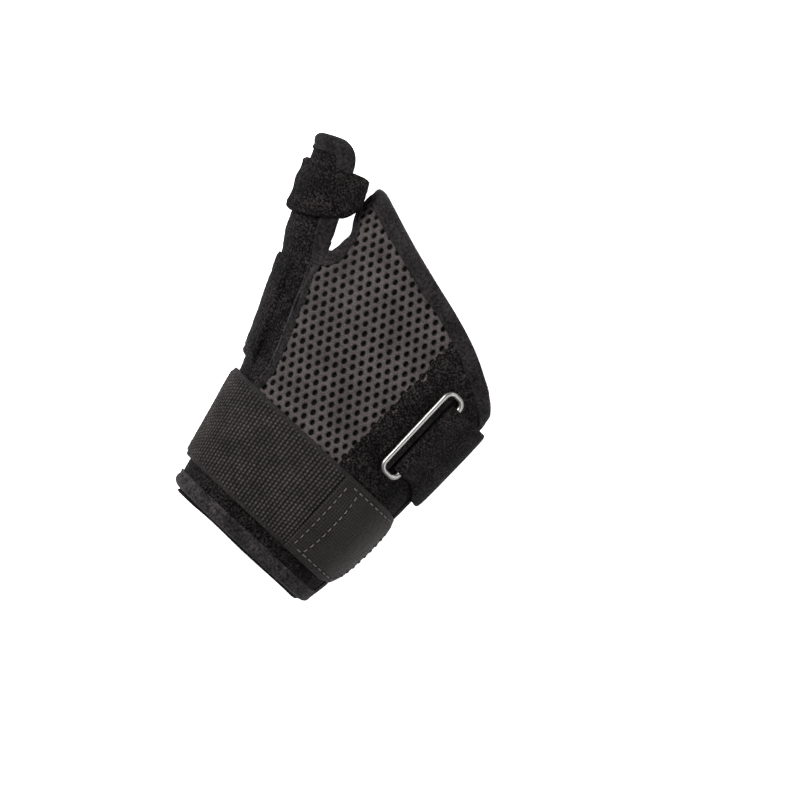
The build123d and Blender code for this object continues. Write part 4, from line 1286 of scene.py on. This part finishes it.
# ------------------------------------------------------------------ hand strap
# The wire ring leans out of its slot. Its bar is RING_REACH from the slot, and the strap's loop
# round it has the radius LOOP.
RING_REACH, RING_TILT = 3.4, math.radians(24.0)
BAR_X = 20.2 + RING_REACH * math.cos(RING_TILT)
LOOP = 2.0
ROOT_DEPTH = -1.35
HAND_ROWS = np.linspace(27.2, 55.4, 58)


def bar_z(y):
    return 40.5 - RING_REACH * math.sin(RING_TILT) - 0.112 * (y - 41.4)


def loop_point(y, degrees):
    turn = math.radians(degrees)
    return (BAR_X + LOOP * math.cos(turn), y, bar_z(y) + LOOP * math.sin(turn))


def hand_root():
    """The strap's sewn part, from inside the wing up through the slot and over the bar."""
    columns = []
    for y in HAND_ROWS:
        last = float(turn_at(y, 25.6, ROOT_DEPTH))
        line = [tuple(section(d, y, ROOT_DEPTH)) for d in np.linspace(-42.0, last, 14)]
        low = section(float(turn_at(y, 23.4, ROOT_DEPTH)), y, ROOT_DEPTH)
        line.append((low[0], y, low[2] + 0.1))
        line.append((BAR_X - LOOP + 0.35, y, low[2] + 1.3))
        line.append((BAR_X - LOOP, y, bar_z(y) - 1.6))
        line += [loop_point(y, d) for d in (180, 150, 120, 104)]
        columns.append(resample(line, 90))
    return np.stack(columns, 1)


def bulge(degrees, table):
    """A strap's extra depth at a section angle, from a table of angles and depths."""
    return np.interp(degrees, *np.transpose(table))


TAIL_BULGE = [(-50, 0.0), (-36, 0.1), (-22, 1.0), (-5, 1.4), (12, 1.2), (28, 0.4), (40, 0.0)]
THUMB_RAMP = [(136, 4.0), (156, 0.6), (236, 0.6), (256, 3.9), (290, 3.9), (350, 3.4)]


def hand_tail():
    """The strap from the bar's top round the ulnar side. It widens once clear of the ring."""
    columns = []
    for y in HAND_ROWS:
        share = (HAND_ROWS[-1] - y) / (HAND_ROWS[-1] - HAND_ROWS[0])
        wide_y = y - 4.3 * share**1.6
        line = [loop_point(y, d) for d in (110, 92, 74, 56, 38, 18)]
        first = float(turn_at(y, 28.0, 4.8))
        for k, d in enumerate(np.linspace(first, -50.0, 13)):
            at = y + (wide_y - y) * float(ease((k + 0.3) / 3.2))
            line.append(tuple(section(d, at, 4.8 + float(bulge(d, TAIL_BULGE)))))
        columns.append(resample(line, 120))
    return np.stack(columns, 1)


def nap(p, seed):
    """Relief of a napped strap's face, in mm, and distances along and across its grid."""
    across = np.linspace(0, np.linalg.norm(p[0, -1] - p[0, 0]), p.shape[1])
    s, y = np.meshgrid(arc_length(p[:, p.shape[1] // 2]), across, indexing="ij")
    return 0.11 * noise2(s, y, 1.1, seed) + 0.10 * noise2(s, y, 5.0, seed + 1), s, y


p = hand_root()
o = strip("hand_strap_under", p, 1.5, nap(p, 91)[0] * 0.6, (True, False), -1.0)
finish_piece(o, VELOUR, "wrap", ["hand_strap_root"])

p = hand_tail()
relief, s, y = nap(p, 95)
edge = np.minimum(y, y.max() - y)
relief = relief - 0.22 * np.exp(-(((edge - 2.0) / 0.35) ** 2)) * (s > 5) + 0.15
o = strip("hand_strap_over", p, 1.5, relief, (False, True), -1.0)
flap = ("wrap", "hand_flap", (0.0242, 0.0413, 0.0422), (0.0282, 0.0413, 0.0382))
finish_piece(o, VELOUR, None, ["hand_strap_tail"], flap)


def grid_stitches(name, p, n, line, t, length=1.7, gap=1.3, radius=0.16):
    """Stitches along a line of (row, column) places on a strap's grid of points."""
    tables = np.concatenate([np.moveaxis(p, -1, 0), np.moveaxis(n, -1, 0)])

    def surface(a, b, depth):
        values = sample(tables, a, b)
        return np.moveaxis(values[0:3] + depth * values[3:6], 0, -1)

    line = np.array(line, float)
    share = np.linspace(0, 1, 200, endpoint=False)[:, None]
    fine = np.vstack([a + (b - a) * share for a, b in zip(line, line[1:])])
    along = arc_length(surface(*fine.T, 0.0))
    count = 7
    sink = np.linspace(-1, 1, count)
    runs = []
    for start in np.arange(0.8, along[-1] - length, length + gap):
        a, b = at_places(np.linspace(start, start + length, count), along, fine).T
        centre = surface(a, b, t + radius * 0.7 - sink**4 * radius * 2.0)
        runs.append(stitch(centre, surface(a, b, t + 1.0) - surface(a, b, t), radius))
    return tubes(name, runs)


n = -strip_normals(p)
last, far = p.shape[0] - 1, p.shape[1] - 1
around = [(14, 4), (last - 5, 4), (last - 5, far - 4), (14, far - 4)]
o = grid_stitches("hand_strap_stitches", p, n, around, 0.72)
finish_piece(o, DARK_THREAD, None, (), flap)


def hook_patch(name, points, thickness, seed, rough=0.08, outwards=1.0):
    """A patch of hooks: a thin strip with a rough face."""
    relief = rough * np.random.default_rng(seed).uniform(-1, 1, points.shape[:2])
    return strip(name, points, thickness, relief, outwards=outwards)


turns, rows = np.meshgrid(np.linspace(-49.0, -37.0, 26), np.linspace(28.2, 54.2, 60), indexing="ij")
o = hook_patch("hand_strap_hooks", section(turns, rows, 3.78), 0.42, 97)
finish_piece(o, HOOKS, "hand_flap", ["hand_strap_hook"])


# ------------------------------------------------------------------ thumb strap
def thumb_rows(turns, w, t):
    """Positions along the thumb across the strap, which narrows and rises on the hand's side."""
    half = np.interp(10.0, THUMB_SECTIONS[:, 0], THUMB_SECTIONS[:, 1])
    out = (half + t) * np.cos(np.radians(turns))
    low = 0.35 + 5.0 / 17.0 * np.clip(4.0 - out, 0, None)
    low = low + 4.6 * np.clip((-5.0 - out) / 6.0, 0, 1.1) ** 1.5
    high = 18.5 - 1.2 / 17.0 * np.clip(4.0 - out, 0, None)
    high = high - 0.9 * np.clip((-7.0 - out) / 4.0, 0, 1.1) ** 2
    return low + (high - low) * (w + 1) / 2


def thumb_strip(first, last, count, seed, loose):
    """Centre points of a strap round the thumb. A loose one is wavy and its end is rounded."""
    u, w = np.meshgrid(np.linspace(0, 1, count), np.linspace(-1, 1, 42), indexing="ij")
    corner = 14.0 * np.clip((np.abs(w) - 0.72) / 0.28, 0, 1) ** 2 if loose else 0.0
    turns = first + (last + corner - first) * u
    depth = np.where((turns > 134), bulge(turns, THUMB_RAMP), 4.0) + 0.75
    slack = 0.0
    if loose:
        wave = 0.22 * noise2(turns / 4, w * 9, 4.5, seed)
        sag = 0.25 * np.sin(w * 7.0 + 0.8 * np.sin(turns / 24.0)) * ease((110 - turns) / 40)
        slack = (wave + sag) * (turns < 128)
    return tube(turns, thumb_rows(turns, w, depth), depth + slack), turns, w


p, turns, w = thumb_strip(148.0, 350.0, 120, 101, False)
o = strip("thumb_strap_under", p, 1.5, nap(p, 101)[0], (False, True))
finish_piece(o, VELOUR, "wrap", ["thumb_strap_root"])

p, turns, w = thumb_strip(150.0, 6.0, 112, 107, True)
end_ridge = 0.30 * np.exp(-(((turns - 12.0) / 6.0) ** 2))
groove = -0.22 * np.exp(-(((np.abs(w) - 0.80) / 0.04) ** 2)) * (turns < 128)
o = strip("thumb_strap_over", p, 1.5, nap(p, 105)[0] + end_ridge + groove, (False, True), -1.0)
zigzag = []
for k in range(19):
    column = (0.10 + (0.16 if k % 2 else -0.16) + 1) / 2 * (p.shape[1] - 1)
    zigzag.append((p.shape[0] * (0.22 + 0.60 * k / 18), column))
n = -strip_normals(p)
o_seam = grid_stitches("thumb_strap_zigzag", p, n, zigzag, 0.62, 1.3, 0.5, 0.16)
a, b = tube(140.0, 10.5, 4.75) * MM, tube(112.0, 10.5, 4.75) * MM
thumb_blend = ("wrap", "thumb_flap", tuple(float(v) for v in a), tuple(float(v) for v in b))
finish_piece(o, VELOUR, None, ["thumb_strap_flap"], thumb_blend)
finish_piece(o_seam, SUEDE, None, (), thumb_blend)
last, far = p.shape[0] - 1, p.shape[1] - 1
around = [(24, 4), (last - 10, 4), (last - 6, 9)]
around += [(row, far - column) for row, column in around[::-1]]
o = grid_stitches("thumb_strap_stitches", p, n, around, 0.74)
finish_piece(o, DARK_THREAD, None, (), thumb_blend)
turns, rows = np.meshgrid(np.linspace(14.0, 58.0, 40), np.linspace(3.6, 17.4, 34), indexing="ij")
o = hook_patch("thumb_strap_hooks", tube(turns, rows, 3.74), 0.42, 109)
finish_piece(o, HOOKS, "thumb_flap", ["thumb_strap_hook"])


# ------------------------------------------------------------------ wrist strap
def wrist_path(places, count, rows):
    """The strap's middle line round the section at the wrist, at section angles or from x."""
    columns = []
    for y in rows:
        first = float(turn_at(y, 19.3, 4.75)) if places[0] is None else places[0]
        turns = np.linspace(first, places[1], 70)
        depth = np.interp(turns, [282, 302], [4.75, 4.05])
        columns.append(resample(section(turns, y, depth), count))
    return np.stack(columns, 1)


RIB_STEP, LOOP_STEP = 1.34, 1.22


def webbing(name, places, count, rows, seed):
    """Ribbed elastic: rows of raised loops across it, with plain selvages, painted shade in the
    grooves between ribs and painted highlights on the loops.
    """
    p = wrist_path(places, count, rows)
    s, y = np.meshgrid(arc_length(p[:, len(rows) // 2]), rows, indexing="ij")
    row = s / RIB_STEP
    rib = np.abs(np.cos(np.pi * row)) ** 0.8
    loops = 0.5 + 0.5 * np.cos(2 * np.pi * (y / LOOP_STEP + 0.5 * (np.floor(row + 0.5) % 2)))
    plain = ease((np.abs(y) - 14.3) / 0.6)
    selvage = 0.10 + 0.08 * np.cos(2 * np.pi * s / 1.2)
    relief = (0.42 * rib + 0.26 * rib * loops) * (1 - plain) + selvage * plain
    # Painted light: near black in the grooves between ribs, lightest on the loops' crowns, flat on
    # the selvages; passed on as the 'relief' attribute that darkens the colour.
    raised = (0.02 + 0.36 * rib**3 + 0.85 * rib**2 * loops**1.2) * (1 - plain) + 0.34 * plain
    lit = raised * (1 + 0.35 * noise2(s, y, 0.8, seed + 2))
    lit = lit * (1 + 0.2 * noise2(s, y, 7.0, seed + 3))
    relief = relief + 0.12 * noise2(s, y, 11.0, seed) + 0.05 * noise2(s, y, 0.9, seed + 1) - 0.20
    ends = (places[0] is None, places[0] is not None)
    return strip(name, p, 1.3, relief, ends, -1.0, painted_shade=np.clip(lit, 0.02, 1.2))


sideways = ("wrap", "wrist_strap", (-0.0372, 0.0, 0.020), (-0.0342, 0.0, 0.033))
o = webbing("wrist_strap_elastic", (None, 212.0), 345, np.linspace(-16, 16, 134), 121)
finish_piece(o, ELASTIC, None, ["wrist_strap_span"], sideways)
o = webbing("wrist_strap_anchor", (210.0, 306.0), 150, np.linspace(-16, 16, 80), 125)
finish_piece(o, ELASTIC, None, ["wrist_strap_root"], sideways)


def tab_grid(x_root, end_turn, half, corner, t, count, rows):
    """Centre points of the tab, whose free end is round at its corners."""
    u = np.linspace(-1, 1, rows)
    y = half * np.sign(u) * (1 - (1 - np.abs(u)) ** 1.25)
    over = np.maximum(0.0, np.abs(y) - (half - corner))
    back = corner - np.sqrt(np.maximum(0.0, corner**2 - over**2))
    columns = []
    for yi, b in zip(y, back):
        first = float(turn_at(yi, x_root, t))
        line = section(np.linspace(first, end_turn, 240), yi, t)
        along = arc_length(line)
        columns.append(at_places(np.linspace(0, along[-1] - b, count), along, line))
    return np.stack(columns, 1)


# The tab's half width, the middle of its grid's columns, and its two lines of stitches across it.
TAB_HALF, TAB_MIDDLE = 15.9, 37
TAB_LINES = (2.6, 7.8)


def ridge(distance, place, width=0.35):
    """A rounded ridge of height 1 at a place."""
    return np.exp(-(((distance - place) / width) ** 2))


p = tab_grid(11.4, 8.0, TAB_HALF, 13.5, 6.05, 130, 74)
s = np.repeat(arc_length(p[:, TAB_MIDDLE])[:, None], p.shape[1], axis=1)
y = p[..., 1]
root_lines = ridge(s, TAB_LINES[0]) + ridge(s, TAB_LINES[1])
rim = ridge(np.minimum(TAB_HALF - np.abs(y), s), 2.3) * (s > 9)
relief = 0.10 * noise2(s, y, 6.0, 131) + 0.05 * noise2(s, y, 1.2, 132) - 0.16 * (root_lines + rim)
relief = relief + 0.22 * noise2(s, y, 14.0, 133) * 0.5
o = strip("pull_tab_cover", p, 1.05, relief, flat=(s, y))
tab_blend = ("wrist_strap", "wrist_tab", (0.0186, 0.0, 0.0460), (0.0222, 0.0, 0.0442))
finish_piece(o, LEATHERCLOTH, None, ["tab_root", "tab_cover"], tab_blend)
n = strip_normals(p)
last = p.shape[0] - 1


def tab_place(distance, y):
    """The row and column of a place on the tab."""
    row = np.interp(distance, s[:, TAB_MIDDLE], np.arange(p.shape[0]))
    column = np.interp(y, p[40, :, 1], np.arange(p.shape[1]))
    return row, column


seam = [tab_place(4.4, -13.6)]
seam += [(last - back, tab_place(0, y)[1]) for back, y in ((12, -13.6), (8, -11.0), (7, -7.0))]
seam += [(last - back, tab_place(0, y)[1]) for back, y in ((7, 7.0), (8, 11.0), (12, 13.6))]
seam.append(tab_place(4.4, 13.6))
for name, line in (
    ("first", [tab_place(TAB_LINES[0], -13.6), tab_place(TAB_LINES[0], 13.6)]),
    ("second", [tab_place(TAB_LINES[1], -13.6), tab_place(TAB_LINES[1], 13.6)]),
    ("round", seam),
):
    o = grid_stitches("tab_stitches_" + name, p, n, line, 0.62, 1.5, 1.1, 0.21)
    finish_piece(o, THREAD, None, (), tab_blend)

q = tab_grid(21.9, 4.0, 15.3, 8.0, 4.72, 90, 70)
o = hook_patch("pull_tab_hooks", q, 1.2, 141, 0.10, -1.0)
finish_piece(o, HOOKS, "wrist_tab", ["tab_hook"])


# ------------------------------------------------------------------ CAD nodes that stay
for name, mat in (
    ("slot_ring", STEEL),
    ("palm_stay", DULL_METAL),
    ("palm_stay_tips", DIP),
    ("thumb_stay", DULL_METAL),
):
    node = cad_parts[name]
    node.data.materials.clear()
    node.data.materials.append(mat)

# ------------------------------------------------------------------ floor, lights and camera
floor_mesh = bpy.data.meshes.new("floor")
FLOOR_HALF = 3.0
signs = ((-1, -1), (1, -1), (1, 1), (-1, 1))
floor_corners = [(FLOOR_HALF * i, FLOOR_HALF * j, 0) for i, j in signs]
floor_mesh.from_pydata(floor_corners, [], [(0, 1, 2, 3)])
floor = bpy.data.objects.new("floor", floor_mesh)
bpy.context.scene.collection.objects.link(floor)
pale = bpy.data.materials.new("pale_floor")
pale.use_nodes = True
shader = pale.node_tree.nodes["Principled BSDF"]
shader.inputs["Base Color"].default_value = (0.90, 0.90, 0.905, 1)
shader.inputs["Roughness"].default_value = 0.9
shader.inputs["Specular IOR Level"].default_value = 0.1
shader.inputs["Emission Color"].default_value = (1, 1, 1, 1)
shader.inputs["Emission Strength"].default_value = 0.40
floor.data.materials.append(pale)

world = bpy.data.worlds.new("studio")
world.use_nodes = True
world.node_tree.nodes["Background"].inputs["Color"].default_value = (1, 1, 1, 1)
world.node_tree.nodes["Background"].inputs["Strength"].default_value = 0.95
bpy.context.scene.world = world
bpy.context.scene.view_settings.view_transform = "Standard"


def area_light(name, place, size, power, target=(0.0, 0.03, 0.03)):
    data = bpy.data.lights.new(name, "AREA")
    data.shape = "DISK"
    data.size = size
    data.energy = power
    o = bpy.data.objects.new(name, data)
    o.location = place
    o.rotation_euler = (Vector(target) - Vector(place)).to_track_quat("-Z", "Y").to_euler()
    bpy.context.scene.collection.objects.link(o)


CAMERA_RIGHT = Vector((0.7314, 0.6820, 0.0))
CAMERA_UP = Vector((-0.6820, 0.7314, 0.0))
key = CAMERA_UP * 0.50 - CAMERA_RIGHT * 0.42 + Vector((0, 0, 0.62))
fill = -CAMERA_UP * 0.35 + CAMERA_RIGHT * 0.70 + Vector((0, 0, 0.60))
rim_light = CAMERA_UP * 0.30 + CAMERA_RIGHT * 0.55 + Vector((0, 0, 0.35))
area_light("key", tuple(key), 0.35, 15.0)
area_light("fill", tuple(fill), 0.6, 5.0)
area_light("rim", tuple(rim_light), 0.3, 2.0)

camera_data = bpy.data.cameras.new("camera")
SENSOR, VIEW_DISTANCE, VIEW_WIDTH = 36.0, 2.50, 0.2623
camera_data.sensor_width = SENSOR
camera_data.lens = SENSOR * VIEW_DISTANCE / VIEW_WIDTH
camera_data.clip_end = 20.0
camera = bpy.data.objects.new("camera", camera_data)
camera.matrix_world = Matrix(
    (
        (CAMERA_RIGHT.x, CAMERA_UP.x, 0.0, 0.0069),
        (CAMERA_RIGHT.y, CAMERA_UP.y, 0.0, 0.0450),
        (0.0, 0.0, 1.0, 2.54),
        (0.0, 0.0, 0.0, 1.0),
    )
)
bpy.context.scene.collection.objects.link(camera)
bpy.context.scene.camera = camera
